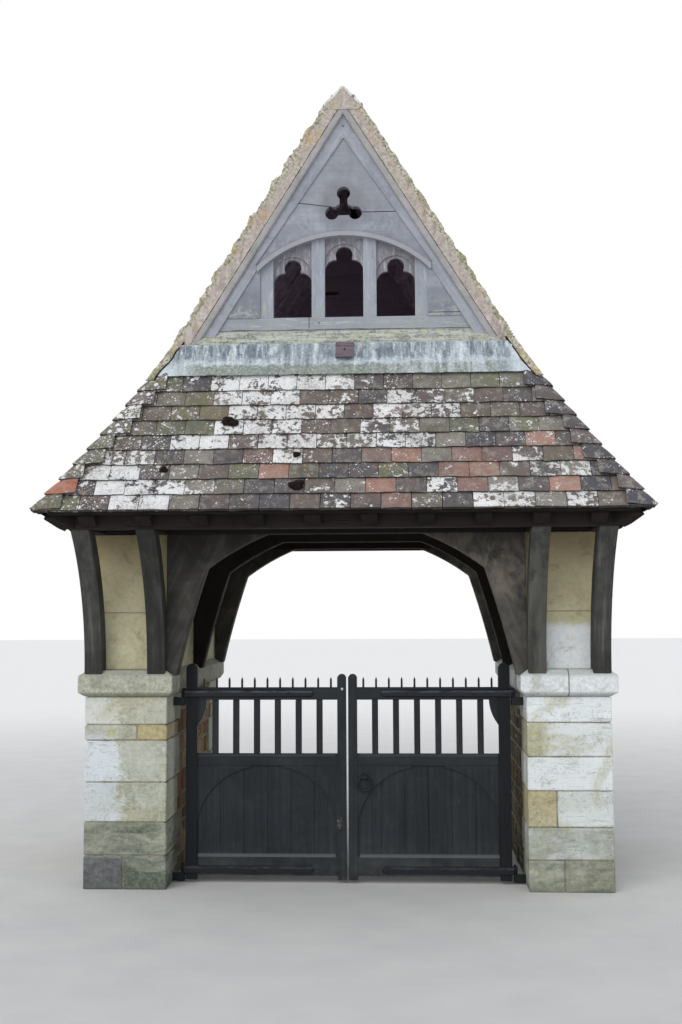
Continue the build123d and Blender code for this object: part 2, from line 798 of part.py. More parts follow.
# Gablet sill: a timber cut to the slope behind the tiles, weathered in front, with an
# upright band that carries the tracery
ledge_back = front - ledge_depth
sill_top = hip_top + ledge_lip + ledge_rise + sill_band
sill_front_low = slope_out(eaves_y, hip_angle, tile_bed, sill_underside)
sill_front_high = slope_out(eaves_y, hip_angle, tile_bed, hip_top)
sill_back = front - gablet_wall_back
with BuildPart() as gablet_sill:
    with BuildSketch(Plane.YZ):
        Polygon((-front, hip_top), (-front, hip_top + ledge_lip),
                (-ledge_back, hip_top + ledge_lip + ledge_rise), (-ledge_back, sill_top),
                (-sill_back, sill_top), (-sill_back, sill_underside),
                (-sill_front_low, sill_underside), (-sill_front_high, hip_top), align=None)
    extrude(amount=2 * eaves_x, both=True)
    add(under_side_tiles, mode=Mode.INTERSECT)
finish(gablet_sill, "gablet_sill_front")
gablet_sill_rear = copy_to_rear(gablet_sill, "gablet_sill_rear")

with BuildPart() as above_ledge:
    with BuildSketch(Plane.YZ):
        Polygon((-front - overrun, hip_top + ledge_lip), (-front, hip_top + ledge_lip),
                (-ledge_back, hip_top + ledge_lip + ledge_rise),
                (-ledge_back, sill_top), (-sill_back, sill_top), (-sill_back, high),
                (-front - overrun, high), align=None)
    extrude(amount=2 * eaves_x, both=True)


def chevron(upper, lower, near, far):
    """A pair of boards under the verge, between two depths and two distances back from it."""
    with BuildPart() as boards:
        with BuildSketch(Plane.XZ.offset(front - near)):
            add(slope_band(eaves_x, side_angle, upper, lower, 1))
            mirror(about=Plane.YZ)
        extrude(amount=-(far - near))
    return boards.part


# Bargeboards: a moulded outer board and a flat inner board, which is wide at the apex,
# narrow beside the panel's foot and then steps back to its plain width
outer_lower = tile_bed + outer_board
inner_lower = outer_lower + inner_board
waist = sill_top + waist_rise
waist_foot = waist - waist_step


def board_opening():
    """What the inner boards leave open between them."""
    toe = slope_out(eaves_x, side_angle, inner_lower, waist_foot)
    foot = slope_out(eaves_x, side_angle, inner_lower, hip_top)
    with BuildSketch() as opening:
        with BuildLine():
            Polyline((0, slope_height(eaves_x, side_angle, outer_lower + inner_board_head, 0.0)),
                     (slope_out(eaves_x, side_angle, outer_lower + inner_board_waist, waist), waist),
                     (toe, waist_foot), (foot, hip_top), (0, hip_top),
                     (0, slope_height(eaves_x, side_angle, outer_lower + inner_board_head, 0.0)))
        make_face()
        mirror(about=Plane.YZ)
    return opening.sketch


with BuildPart() as inner_boards:
    add(chevron(outer_lower, outer_lower + 2 * inner_board_head, inner_board_front, board_back))
    with BuildSketch(Plane.XZ.offset(front)):
        add(board_opening())
    extrude(amount=-gablet_wall_back, mode=Mode.SUBTRACT)

with BuildPart() as bargeboards:
    add(chevron(tile_bed, outer_lower, outer_board_front, board_back))
    fillet(bargeboards.faces().sort_by(Axis.Y)[0].outer_wire().edges(), radius=board_roll)
    add(inner_boards.part)
    add(above_ledge.part, mode=Mode.INTERSECT)
finish(bargeboards, "bargeboards_front")
bargeboards_rear = copy_to_rear(bargeboards, "bargeboards_rear")

# Three lights under a segmental head, between the inner boards
gablet_half_width = slope_out(eaves_x, side_angle, inner_lower, sill_top)
head_half_span = gablet_half_width - head_margin
head_radius = (head_half_span ** 2 + head_rise ** 2) / (2 * head_rise)
light_width = (2 * head_half_span - 4 * mullion_width) / 3
light_pitch = light_width + mullion_width
shoulder_radius = (light_width - cusp_gap) / 2 - shoulder_flat
foil_rise = shoulder_radius + foil_stilt + foil_radius
head_crown = sill_top + light_springing + centre_light_rise + foil_rise + head_clearance
head_centre = head_crown - head_radius
trefoil_centre = head_crown + trefoil_rise


def head_height(x, radius):
    """Height of the segmental head's arc of a given radius at x."""
    return head_centre + sqrt(radius ** 2 - x ** 2)


def head_sector(radius):
    """All that lies under the segmental head, down to the sill."""
    half = head_half_span
    with BuildSketch() as sector:
        with BuildLine():
            ThreePointArc((-half, head_height(half, radius)), (0, head_centre + radius),
                          (half, head_height(half, radius)))
            Polyline((half, head_height(half, radius)), (half, sill_top), (-half, sill_top),
                     (-half, head_height(half, radius)))
        make_face()
    return sector.sketch


def trefoil():
    """Three round lobes joined by arms."""
    with BuildSketch() as lobes:
        with Locations((0, trefoil_centre)):
            with PolarLocations(trefoil_reach, 3, start_angle=90):
                Circle(trefoil_radius)
            with PolarLocations(trefoil_reach / 2, 3, start_angle=90):
                Rectangle(trefoil_reach, trefoil_arm)
        with Locations((0, trefoil_centre)):
            Rectangle(trefoil_heart_width, trefoil_heart_drop, align=(Align.CENTER, Align.MAX))
    return lobes.sketch


def rib_outline():
    """The rib over the head, carried on to the inner boards."""
    reach = slope_out(eaves_x, side_angle, inner_lower, waist_foot)
    with BuildSketch() as rib:
        with Locations((0, head_centre)):
            Circle(head_radius + rib_width)
            Circle(head_radius, mode=Mode.SUBTRACT)
        with Locations((0, head_crown)):
            Rectangle(2 * reach, 2 * head_radius, mode=Mode.INTERSECT)
        add(board_opening(), mode=Mode.INTERSECT)
    return rib.sketch


def gablet_outline():
    """The gable from the sill up to the underside of the tile bed."""
    apex = slope_height(eaves_x, side_angle, tile_bed, 0.0)
    foot = slope_out(eaves_x, side_angle, tile_bed, sill_top)
    with BuildSketch() as gable:
        with BuildLine():
            Polyline((-foot, sill_top), (0, apex), (foot, sill_top), (-foot, sill_top))
        make_face()
    return gable.sketch


panel_plane = Plane.XZ.offset(front - panel_front)
with BuildPart() as gablet_panel:
    with BuildSketch(panel_plane):
        add(gablet_outline())
        add(head_sector(head_radius), mode=Mode.SUBTRACT)
        add(trefoil(), mode=Mode.SUBTRACT)
    extrude(amount=-panel_thickness)
    with BuildSketch(panel_plane):
        add(rib_outline())
    extrude(amount=rib_projection)
    add(bargeboards.part, mode=Mode.SUBTRACT)
finish(gablet_panel, "gablet_panel_front")
gablet_panel_rear = copy_to_rear(gablet_panel, "gablet_panel_rear")


def light_outline(middle, lift):
    """One light: a plain opening with a trefoiled head of two shoulders and a foil."""
    half = light_width / 2
    spring = sill_top + light_springing + lift
    cusp = spring + shoulder_radius
    half_gap = cusp_gap / 2
    neck = cusp + foil_stilt - sqrt(foil_radius ** 2 - half_gap ** 2)
    foil_top = spring + foil_rise
    shoulder_end = half - shoulder_radius
    corner = shoulder_radius * (1 - sqrt(0.5))
    with BuildSketch() as light:
        with BuildLine():
            Polyline((middle - half, spring), (middle - half, sill_top), (middle + half, sill_top),
                     (middle + half, spring))
            ThreePointArc((middle + half, spring), (middle + half - corner, cusp - corner),
                          (middle + shoulder_end, cusp))
            Polyline((middle + shoulder_end, cusp), (middle + half_gap, cusp),
                     (middle + half_gap, neck))
            ThreePointArc((middle + half_gap, neck), (middle, foil_top), (middle - half_gap, neck))
            Polyline((middle - half_gap, neck), (middle - half_gap, cusp),
                     (middle - shoulder_end, cusp))
            ThreePointArc((middle - shoulder_end, cusp), (middle - half + corner, cusp - corner),
                          (middle - half, spring))
        make_face()
    return light.sketch


def recess_outline(middle, lift):
    """The plain round arch that is sunk around the head of one light."""
    half = light_width / 2
    spring = sill_top + light_springing + lift
    crown = spring + foil_rise + light_recess_margin
    with BuildSketch() as recess:
        with Locations((middle, crown - half)):
            Circle(half)
        with Locations((middle, (spring + crown - half) / 2)):
            Rectangle(light_width, crown - half - spring)
    return recess.sketch


lights = ((-light_pitch, 0.0), (0.0, centre_light_rise), (light_pitch, 0.0))
tracery_plane = Plane.XZ.offset(front - tracery_front)
with BuildPart() as gablet_tracery:
    with BuildSketch(tracery_plane):
        add(head_sector(head_radius))
        for middle, lift in lights:
            add(light_outline(middle, lift), mode=Mode.SUBTRACT)
    extrude(amount=-tracery_thickness)
    with BuildSketch(tracery_plane):
        for middle, lift in lights:
            add(recess_outline(middle, lift))
    extrude(amount=-light_recess_depth, mode=Mode.SUBTRACT)
    with BuildSketch(tracery_plane):
        with Locations((0, sill_top)):
            with GridLocations(light_pitch, 1, 4, 1):
                Rectangle(mullion_width, head_crown - sill_top, align=(Align.CENTER, Align.MIN))
        add(head_sector(head_radius), mode=Mode.INTERSECT)
    extrude(amount=tracery_front - mullion_front)
finish(gablet_tracery, "gablet_tracery_front")
gablet_tracery_rear = copy_to_rear(gablet_tracery, "gablet_tracery_rear")

# Boards that close the rear gablet behind its tracery
backing_front = front - tracery_front - tracery_thickness
with BuildPart() as gablet_backing_rear:
    with BuildSketch(Plane.XZ.offset(-backing_front)):
        add(gablet_outline())
    extrude(amount=backing_thickness)
    split(bisect_by=Plane.XY.offset(ridge_beam_top - ridge_beam_height), keep=Keep.BOTTOM)
finish(gablet_backing_rear, "gablet_backing_rear")

# Gate leaves
leaf_middle = leaf_gap / 2
hanging_inner = leaf_reach - hanging_stile
meeting_outer = leaf_middle + meeting_stile
gate_plane = Plane.XZ.offset(gate_back)


def stile(outer, inner, bottom, top):
    """Outline of a stile with a rounded head."""
    radius = (outer - inner) / 2
    with BuildSketch() as outline:
        with BuildLine():
            Polyline((-outer, top - radius), (-outer, bottom), (-inner, bottom),
                     (-inner, top - radius))
            ThreePointArc((-inner, top - radius), (-(outer + inner) / 2, top),
                          (-outer, top - radius))
        make_face()
    return outline.sketch


rail_underside = top_rail_top - top_rail_height
jowl_foot = (-hanging_inner, rail_underside - jowl_drop)
jowl_cusp = (-hanging_inner + jowl_cusp_reach, rail_underside - jowl_cusp_drop)
jowl_tip = (-hanging_inner + jowl_width, rail_underside)
with BuildPart() as gate_stiles:
    with BuildSketch(gate_plane):
        add(stile(leaf_reach, hanging_inner, stile_bottom, top_rail_top + hanging_stile_horn))
        with BuildLine():
            Polyline(jowl_foot, (-hanging_inner, rail_underside), jowl_tip)
            ThreePointArc(jowl_tip, bowed(jowl_tip, jowl_cusp, jowl_bow), jowl_cusp)
            Line(jowl_cusp, jowl_foot)
        make_face()
        add(stile(meeting_outer, leaf_middle, stile_bottom, top_rail_top + meeting_stile_horn))
    extrude(amount=gate_thickness)
finish(gate_stiles, "gate_stiles_left")
gate_stiles_right = copy_to_right(gate_stiles, "gate_stiles_right")

rail_length = hanging_inner - meeting_outer
rail_middle = -(hanging_inner + meeting_outer) / 2
panel_top = middle_rail_top - middle_rail_height
rail_spans = (
    (rail_underside, top_rail_top),
    (panel_top, middle_rail_top),
    (bottom_rail_bottom, bottom_rail_top),
)
with BuildPart() as gate_rails:
    with BuildSketch(gate_plane):
        for bottom, top in rail_spans:
            with Locations((rail_middle, (bottom + top) / 2)):
                Rectangle(rail_length, top - bottom)
    extrude(amount=gate_thickness)
    front_edges = gate_rails.edges().filter_by(Axis.X).filter_by_position(
        Axis.Y, -gate_front - pick, -gate_front + pick)
    upper_edges = [edge for top in (middle_rail_top, bottom_rail_top)
                   for edge in front_edges.filter_by_position(Axis.Z, top - pick, top + pick)]
    chamfer(upper_edges, length=rail_chamfer)
finish(gate_rails, "gate_rails_left")
gate_rails_right = copy_to_right(gate_rails, "gate_rails_right")

# Upright bars between the top and middle rails
bar_pitch = (rail_length + bar_width) / (bar_count + 1)
bar_length = rail_underside - middle_rail_top
with BuildPart() as gate_bars:
    with BuildSketch(Plane.XY.offset(middle_rail_top)):
        with Locations((rail_middle, -gate_middle)):
            with GridLocations(bar_pitch, 1, bar_count, 1):
                Rectangle(bar_width, bar_depth)
    extrude(amount=bar_length)
finish(gate_bars, "gate_bars_left")
gate_bars_right = copy_to_right(gate_bars, "gate_bars_right")

# Lower panel: upright boards with a pair of curved spandrels planted on them
board_front = gate_front - board_setback
arch_plane = Plane.XZ.offset(board_front)
panel_height = panel_top - bottom_rail_top
panel_middle = (bottom_rail_top + panel_top) / 2


def arch_outline():
    """The opening left between the spandrels: a flat crown and two quarter curves."""
    half = rail_length / 2
    half_flat = arch_flat / 2
    spring = bottom_rail_top + arch_spring_rise
    shoulder = panel_top - arch_step
    haunch = (half_flat + (half - half_flat) * sqrt(0.5), spring + (shoulder - spring) * sqrt(0.5))
    with BuildSketch() as opening:
        with BuildLine():
            Polyline((0, panel_top), (half_flat, panel_top), (half_flat, shoulder))
            ThreePointArc((half_flat, shoulder), haunch, (half, spring))
            Polyline((half, spring), (half, bottom_rail_top), (0, bottom_rail_top),
                     (0, panel_top))
        make_face()
        mirror(about=Plane.YZ)
    return opening.sketch


with BuildPart() as gate_panel:
    with BuildSketch(arch_plane):
        with Locations((rail_middle, panel_middle)):
            Rectangle(rail_length, panel_height)
    extrude(amount=-board_thickness)
    with BuildSketch(Plane.XY.offset(bottom_rail_top)):
        with Locations((rail_middle, -board_front)):
            with GridLocations(rail_length / board_count, 1, board_count - 1, 1):
                Rectangle(board_groove * sqrt(2), board_groove * sqrt(2), rotation=45)
    extrude(amount=panel_height, mode=Mode.SUBTRACT)
    with BuildSketch(arch_plane):
        with Locations((rail_middle, panel_middle)):
            Rectangle(rail_length, panel_height)
        with Locations((rail_middle, 0)):
            add(arch_outline(), mode=Mode.SUBTRACT)
    extrude(amount=board_setback - spandrel_setback)
finish(gate_panel, "gate_panel_left")

ring_x = meeting_outer + ring_inset
ring_z = panel_top - ring_drop

with BuildPart() as gate_panel_right:
    mirror(gate_panel.part, about=Plane.YZ)
    with BuildSketch(Plane.XZ.offset(gate_front)):
        with Locations((ring_x, ring_z)):
            Circle(spindle_radius + spindle_clearance)
    extrude(amount=-gate_thickness, mode=Mode.SUBTRACT)
finish(gate_panel_right, "gate_panel_right")

# Iron spikes along the top rail
spike_pitch = rail_length / spike_count
with BuildPart() as gate_spikes:
    with BuildSketch(Plane.XZ.offset(gate_middle - spike_width / 2)):
        with BuildSketch(mode=Mode.PRIVATE) as spike:
            Polygon((-spike_width / 2, 0), (spike_width / 2, 0),
                    (spike_width / 2, spike_height - spike_point), (0, spike_height),
                    (-spike_width / 2, spike_height - spike_point), align=None)
        with Locations((rail_middle, top_rail_top)):
            with GridLocations(spike_pitch, 1, spike_count, 1):
                add(spike.sketch)
    extrude(amount=spike_width)
finish(gate_spikes, "gate_spikes_left")
gate_spikes_right = copy_to_right(gate_spikes, "gate_spikes_right")

# Hinge straps: an eye around the pintle, a cranked end past the stile and a long
# tapered bar on the front of the rail
bore = pin_radius + eye_clearance
eye_radius = bore + eye_wall
crank_inner = leaf_reach + crank_clearance
crank_outer = crank_inner + crank_width
strap_front = gate_front + strap_thickness
strap_end = strap_length - crank_outer
half_root = strap_height / 2
half_tip = strap_tip / 2
with BuildPart() as gate_straps:
    for level in strap_levels:
        with BuildSketch(Plane.XY.offset(level - strap_height / 2)):
            with Locations((-hinge_reach, -gate_middle)):
                Circle(eye_radius)
            Polygon((-crank_outer, -gate_middle), (-crank_inner, -gate_middle),
                    (-crank_inner, -strap_front), (-crank_outer, -strap_front), align=None)
            with Locations((-hinge_reach, -gate_middle)):
                Circle(bore, mode=Mode.SUBTRACT)
        extrude(amount=strap_height)
        with BuildSketch(Plane.XZ.offset(gate_front)):
            with BuildLine():
                Polyline((strap_end, level - half_tip), (-crank_inner, level - half_root),
                         (-crank_outer, level - half_root), (-crank_outer, level + half_root),
                         (-crank_inner, level + half_root), (strap_end, level + half_tip))
                ThreePointArc((strap_end, level + half_tip), (strap_end + half_tip, level),
                              (strap_end, level - half_tip))
            make_face()
        extrude(amount=strap_thickness)
    bar_edges = gate_straps.edges().filter_by_position(
        Axis.Y, -strap_front - pick, -strap_front + pick)
    chamfer(bar_edges, length=strap_chamfer)
finish(gate_straps, "gate_straps_left")
gate_straps_right = copy_to_right(gate_straps, "gate_straps_right")

# Pintles in the side walls
with BuildPart() as gate_pintles:
    for level in strap_levels:
        arm_top = level - strap_height / 2 - pintle_gap
        with BuildSketch(Plane.XY.offset(arm_top - pintle_depth)):
            with Locations((-hinge_reach, -gate_middle)):
                Circle(pin_radius)
        extrude(amount=pintle_depth + pintle_gap + strap_height + pin_radius)
        with BuildSketch(Plane.XY.offset(arm_top - pintle_depth)):
            with Locations((-(hinge_reach + passage_half_width) / 2, -gate_middle)):
                Rectangle(passage_half_width - hinge_reach, pintle_arm)
            with Locations((-hinge_reach, -gate_middle)):
                Circle(pintle_arm / 2)
        extrude(amount=pintle_depth)
    mirror(about=Plane.YZ)
finish(gate_pintles, "gate_pintles")

# Ring handle: a rose on the spandrel, and a ring with its hub and spindle
rose_back = gate_front - spandrel_setback
ring_bottom = ring_z - ring_radius
spindle_back = board_front - board_thickness
hub_back = rose_back + rose_thickness + spindle_clearance
with BuildPart() as latch_rose:
    with BuildSketch(Plane.XZ.offset(rose_back)):
        with Locations((ring_x, ring_z)):
            Circle(rose_radius)
            Circle(spindle_radius + spindle_clearance, mode=Mode.SUBTRACT)
    extrude(amount=rose_thickness)
    rim = latch_rose.faces().sort_by(Axis.Y)[0].outer_wire().edges()
    chamfer(rim, length=rose_thickness / 2)
finish(latch_rose, "latch_rose")

ring_front = rose_back + ring_standoff
with BuildPart() as latch_ring:
    with BuildSketch(Plane.XZ.offset(spindle_back)):
        with Locations((ring_x, ring_z)):
            Circle(spindle_radius)
    extrude(amount=ring_front - spindle_back)
    with BuildSketch(Plane.XZ.offset(hub_back)):
        with Locations((ring_x, ring_z)):
            Circle(hub_radius)
    extrude(amount=ring_front + ring_bar - hub_back)
    with BuildSketch(Plane.XY.offset(ring_bottom)):
        with Locations((ring_x + ring_radius, -ring_front)):
            Circle(ring_bar)
    revolve(axis=Axis((ring_x, 0, ring_bottom), (0, 1, 0)))
finish(latch_ring, "latch_ring")
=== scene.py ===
import math
import random

import bmesh
import bpy
from mathutils import Matrix, Vector, noise


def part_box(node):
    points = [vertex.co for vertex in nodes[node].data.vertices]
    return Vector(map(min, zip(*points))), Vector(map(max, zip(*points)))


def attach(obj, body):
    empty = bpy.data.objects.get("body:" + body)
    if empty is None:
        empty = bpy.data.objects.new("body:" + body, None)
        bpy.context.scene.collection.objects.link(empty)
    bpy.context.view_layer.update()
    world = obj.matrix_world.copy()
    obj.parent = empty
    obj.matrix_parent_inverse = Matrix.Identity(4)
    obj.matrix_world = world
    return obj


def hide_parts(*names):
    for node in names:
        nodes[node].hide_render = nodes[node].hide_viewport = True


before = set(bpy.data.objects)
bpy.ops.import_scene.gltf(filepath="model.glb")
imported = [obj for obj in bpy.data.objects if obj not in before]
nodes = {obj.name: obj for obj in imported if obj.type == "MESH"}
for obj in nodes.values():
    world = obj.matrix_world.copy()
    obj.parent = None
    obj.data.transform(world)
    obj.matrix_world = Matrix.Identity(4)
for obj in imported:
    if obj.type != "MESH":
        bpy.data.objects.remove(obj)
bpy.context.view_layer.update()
chance = random.Random(17)
noise.seed_set(17)  # noise vectors would differ from run to run without it

# Sizes shared with the frame, in metres
PASSAGE = 1.030
WALL_OUTER = 1.510
FRONT = 0.990
WALL_TOP = 1.093
EAVES = 2.135
SWEEP_TOP = 2.941
EAVES_X = 1.689
EAVES_Y = 1.531
SIDE_ANGLE = math.radians(58.0)
HIP_ANGLE = math.radians(64.0)
SWEEP = math.radians(5.6)
GATE_FRONT = 0.802
STRAP_FRONT = 0.814
RIDGE_WING = 0.120

# Places of the details that the marks follow
HIGH_SPOT, LOW_SPOT = 4.385, 3.905
PEG_HEIGHT = 4.462
TREFOIL_Z = 3.9746
LEFT_JOINT, RIGHT_JOINT = 3.962, 3.938
HEAD_CENTRE, HEAD_RADIUS = 3.0703, 0.7243
PANEL_FOOT = 3.328
SILL_SEAM, SILL_JOINT, SILL_HOLE = 3.245, -0.207, (-0.149, 3.276)
UPPER_BED = 1.578
SPOT_LEFT, SPOT_HEIGHT = 1.35, 0.882
STRING_JOINT_X, STRING_JOINT_Y = 1.267, 0.35
HIGH_STRAP, LOW_STRAP = 1.098, 0.080
BOLT_RADIUS = 0.0085
HIGH_RAIL, LOW_RAIL = 0.741, 0.160
WORN_SPOT = (-0.050, 0.353)
BACKING_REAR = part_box("gablet_backing_rear")[1][1]

# Turns that lay the grain of a board along X or Y
BOARD_X = (0, math.radians(90), 0)
BOARD_Y = (math.radians(90), 0, 0)


def clamp(value, low, high):
    return max(low, min(high, value))


def tint(red, green, blue):
    """A colour given as the eye reads it, from 0 to 255, turned into light values."""
    def light(c):
        c /= 255.0
        return c / 12.92 if c <= 0.04045 else ((c + 0.055) / 1.055) ** 2.4
    return (light(red), light(green), light(blue), 1.0)


# Materials

class Amount:
    """A node output that takes part in sums. Each operator adds one math node."""

    def __init__(self, net, socket):
        self.net, self.socket = net, socket

    def __add__(self, other):
        return self.net.math("ADD", self, other)

    def __sub__(self, other):
        return self.net.math("SUBTRACT", self, other)

    def __rsub__(self, other):
        return self.net.math("SUBTRACT", other, self)

    def __mul__(self, other):
        return self.net.math("MULTIPLY", self, other)

    def __pow__(self, other):
        return self.net.math("POWER", self, other)

    def __abs__(self):
        return self.net.math("ABSOLUTE", self)


class Net:
    """One node material, built in a short notation."""

    def __init__(self, name, specular):
        self.material = bpy.data.materials.new(name)
        self.material.use_nodes = True
        self.tree = self.material.node_tree
        self.tree.nodes.clear()
        output = self.node("ShaderNodeOutputMaterial")
        self.shader = self.node("ShaderNodeBsdfPrincipled")
        self.shader.inputs["Specular IOR Level"].default_value = specular
        self.tree.links.new(self.shader.outputs[0], output.inputs[0])
        self.place = self.made("ShaderNodeTexCoord", {}, "Object")

    def node(self, kind, **settings):
        node = self.tree.nodes.new(kind)
        for key, value in settings.items():
            setattr(node, key, value)
        return node

    def feed(self, socket, value):
        if isinstance(value, Amount):
            self.tree.links.new(value.socket, socket)
        else:
            socket.default_value = value

    def made(self, kind, inputs, output=0, **settings):
        """Adds a node, feeds its inputs and gives one of its outputs."""
        node = self.node(kind, **settings)
        for key, value in inputs.items():
            self.feed(node.inputs[key], value)
        return Amount(self, node.outputs[output])

    def math(self, kind, a, b=0.0, c=0.0, limit=False):
        return self.made("ShaderNodeMath", {0: a, 1: b, 2: c}, operation=kind, use_clamp=limit)

    def muladd(self, a, b, c):
        return self.math("MULTIPLY_ADD", a, b, c)

    def most(self, a, b):
        return self.math("MAXIMUM", a, b)

    def root(self, a):
        return self.math("SQRT", a)

    def scaled(self, vector, size):
        return self.made("ShaderNodeVectorMath", {0: vector, 1: size}, operation="MULTIPLY")

    def folded(self, vector):
        return self.made("ShaderNodeVectorMath", {0: vector}, operation="ABSOLUTE")

    def turned(self, vector, angles):
        return self.made("ShaderNodeVectorRotate", {"Vector": vector, "Rotation": angles},
                         rotation_type="EULER_XYZ")

    def parts(self, vector):
        node = self.node("ShaderNodeSeparateXYZ")
        self.feed(node.inputs[0], vector)
        return [Amount(self, output) for output in node.outputs]

    def noise(self, vector, scale, detail=4.0, rough=0.55, twist=0.0):
        return self.made("ShaderNodeTexNoise", {"Vector": vector, "Scale": scale, "Detail": detail,
                                                "Roughness": rough, "Distortion": twist})

    def streaks(self, vector, size, detail, rough=0.55, twist=0.0):
        """Noise with its own scale along each axis."""
        return self.noise(self.scaled(vector, size), 1.0, detail, rough, twist)

    def cells(self, vector, scale):
        return self.made("ShaderNodeTexVoronoi", {"Vector": vector, "Scale": scale}, "Distance")

    def band(self, value, low, high, start=0.0, end=1.0):
        """Goes smoothly from start to end as the value goes from low to high."""
        return self.made("ShaderNodeMapRange", {"Value": value, "From Min": low, "From Max": high,
                                                "To Min": start, "To Max": end},
                         interpolation_type="SMOOTHSTEP")

    def near(self, value, centre, width):
        """1 where the value is within width of the centre, with a soft edge."""
        return self.band(abs(value - centre), width * 0.6, width, 1.0, 0.0)

    def ramp(self, value, *stops):
        """Colours by value, from stops of a position and a colour from 0 to 255."""
        node = self.node("ShaderNodeValToRGB")
        self.feed(node.inputs[0], value)
        elements = node.color_ramp.elements
        while len(elements) < len(stops):
            elements.new(1.0)
        for element, (position, *colour) in zip(elements, stops):
            element.position = position
            element.color = tint(*colour)
        return Amount(self, node.outputs[0])

    def mix(self, share, a, b):
        return self.made("ShaderNodeMix", {0: share, 6: a, 7: b}, 2, data_type="RGBA")

    def value(self, name):
        return self.made("ShaderNodeAttribute", {}, "Fac", attribute_name=name)

    def finish(self, colour, roughness, height=None, depth=0.002):
        self.feed(self.shader.inputs["Base Color"], colour)
        self.feed(self.shader.inputs["Roughness"], roughness)
        if height is not None:
            bump = self.made("ShaderNodeBump", {"Strength": 1.0, "Distance": depth, "Height": height})
            self.feed(self.shader.inputs["Normal"], bump)
        return self.material


def oak(name, stops, tilt=(0, 0, 0), fold=False, spread=(1, 1), crack=0.012, gate=(0.50, 0.60),
        dark=tint(24, 22, 21), marks=None):
    """Weathered oak whose grain runs up local Z once the place is tilted.

    The spread says how much the grain changes along local X and local Y."""
    net = Net(name, specular=0.25)
    place = net.folded(net.place) if fold else net.place
    grain = net.turned(place, tilt)
    wide, deep = spread
    fibre = net.streaks(grain, (70 * wide, 70 * deep, 2.4), 7.0, 0.62, 0.35)
    coarse = net.streaks(grain, (22 * wide, 22 * deep, 1.1), 4.0, 0.55, 0.5)
    patch = net.noise(place, 2.8, 5.0, 0.6, 0.3)
    split = net.streaks(grain, (17 * wide, 17 * deep, 0.42), 1.0, 0.5, 0.1)
    line = abs(split - 0.5)
    opened = net.band(line, 0.0, crack, 1.0, 0.0)
    opened = opened * net.band(patch, *gate)
    level = fibre * 0.38 + coarse * 0.24
    level = level + patch * 0.48
    colour = net.ramp(level * 0.91, *stops)
    if marks:
        colour = marks(net, colour)
    colour = net.mix(opened, colour, dark)
    height = fibre * 0.8 + coarse - opened * 2.2
    rough = net.band(fibre, 0.3, 0.7, 0.72, 0.92)
    return net.finish(colour, rough, height, 0.0020)


DARK_OAK = ((0.28, 36, 35, 34), (0.42, 54, 54, 52), (0.53, 76, 76, 73),
            (0.66, 112, 111, 106))
DEEP_OAK = ((0.26, 17, 14, 13), (0.46, 28, 23, 21), (0.60, 40, 33, 31),
            (0.76, 60, 52, 48))
# Painted light: a pale oak for the inner face of the boards behind the gablet, lighter than the oak so that
# it shows lit through the lights
INNER_OAK_PAINTED_LIGHT = ((0.28, 136, 116, 136), (0.50, 166, 142, 164), (0.72, 188, 166, 184))
EAVES_OAK = ((0.28, 24, 19, 18), (0.42, 34, 28, 26), (0.53, 46, 38, 36),
             (0.66, 66, 56, 52))
PALE_OAK = ((0.28, 44, 43, 42), (0.42, 68, 67, 64), (0.53, 92, 90, 85),
            (0.66, 132, 128, 120))
SILVER_OAK = ((0.26, 128, 132, 144), (0.42, 148, 152, 164), (0.56, 164, 168, 178),
              (0.72, 186, 190, 196))


def bracket_marks(net, colour):
    """Soft clouding on the brackets, darker on the left inner one and paler on the right one."""
    x = net.parts(net.place)[0]
    cloud = net.streaks(net.place, (14, 14, 2.0), 5.0, 0.6, 0.4)
    shade = net.band(cloud, 0.42, 0.64) * 0.32
    colour = net.mix(shade, colour, tint(34, 34, 34))
    left = net.band(x, -1.26, -1.22) * net.band(x, -0.2, -0.4)
    colour = net.mix(left * 0.38, colour, tint(28, 29, 29))
    right = net.band(x, 1.26, 1.22) * net.band(x, 0.2, 0.4)
    pale = right * net.band(cloud, 0.6, 0.36, 0.1, 0.34)
    return net.mix(pale, colour, tint(118, 116, 110))


def inner_marks(net, colour):
    """Plain dark oak on the outer face of the boards that close the rear gablet."""
    y = net.parts(net.place)[1]
    outer = net.band(y, BACKING_REAR - 0.004, BACKING_REAR - 0.002)
    grey = net.ramp(net.noise(net.place, 24.0, 5.0, 0.6), (0.34, 40, 37, 37), (0.66, 66, 62, 60))
    return net.mix(outer, colour, grey)


def slope_marks(net, colour):
    """Painted light: paler wood on the slopes up inside the gablets."""
    z = net.parts(net.place)[2]
    # Painted light, paler high up inside the gablets
    high = net.band(z, 3.08, 3.16)
    painted_inner_light = net.ramp(net.noise(net.place, 24.0, 5.0, 0.6), (0.34, 150, 130, 150), (0.66, 196, 174, 194))
    return net.mix(high, colour, painted_inner_light)


def knee_marks(net, colour):
    """Brown shade under the beam, a darker left knee and pale clouds of painted light on the right one."""
    x, _, z = net.parts(net.place)
    broad = net.noise(net.place, 6.0, 6.0, 0.62, 0.8)
    streak = net.streaks(net.place, (16, 16, 4), 5.0, 0.6, 0.8)
    left = net.band(x, 0.1, -0.1) * net.band(broad, 0.36, 0.6, 0.15, 0.5)
    colour = net.mix(left, colour, tint(32, 31, 30))
    # Painted light: pale clouds on the right knee
    right = net.band(x, 0.1, 0.4) * net.band(broad, 0.44, 0.6)
    right = right * net.band(streak, 0.36, 0.6, 0.3, 0.8)
    right = right * net.band(net.muladd(broad, 0.2, z), 1.66, 1.92, 0.25, 1.0)
    colour = net.mix(right, colour, tint(144, 134, 123))
    top = net.band(z + broad * 0.22, 1.96, 2.22, 0.0, 0.72)
    return net.mix(top, colour, tint(34, 26, 24))


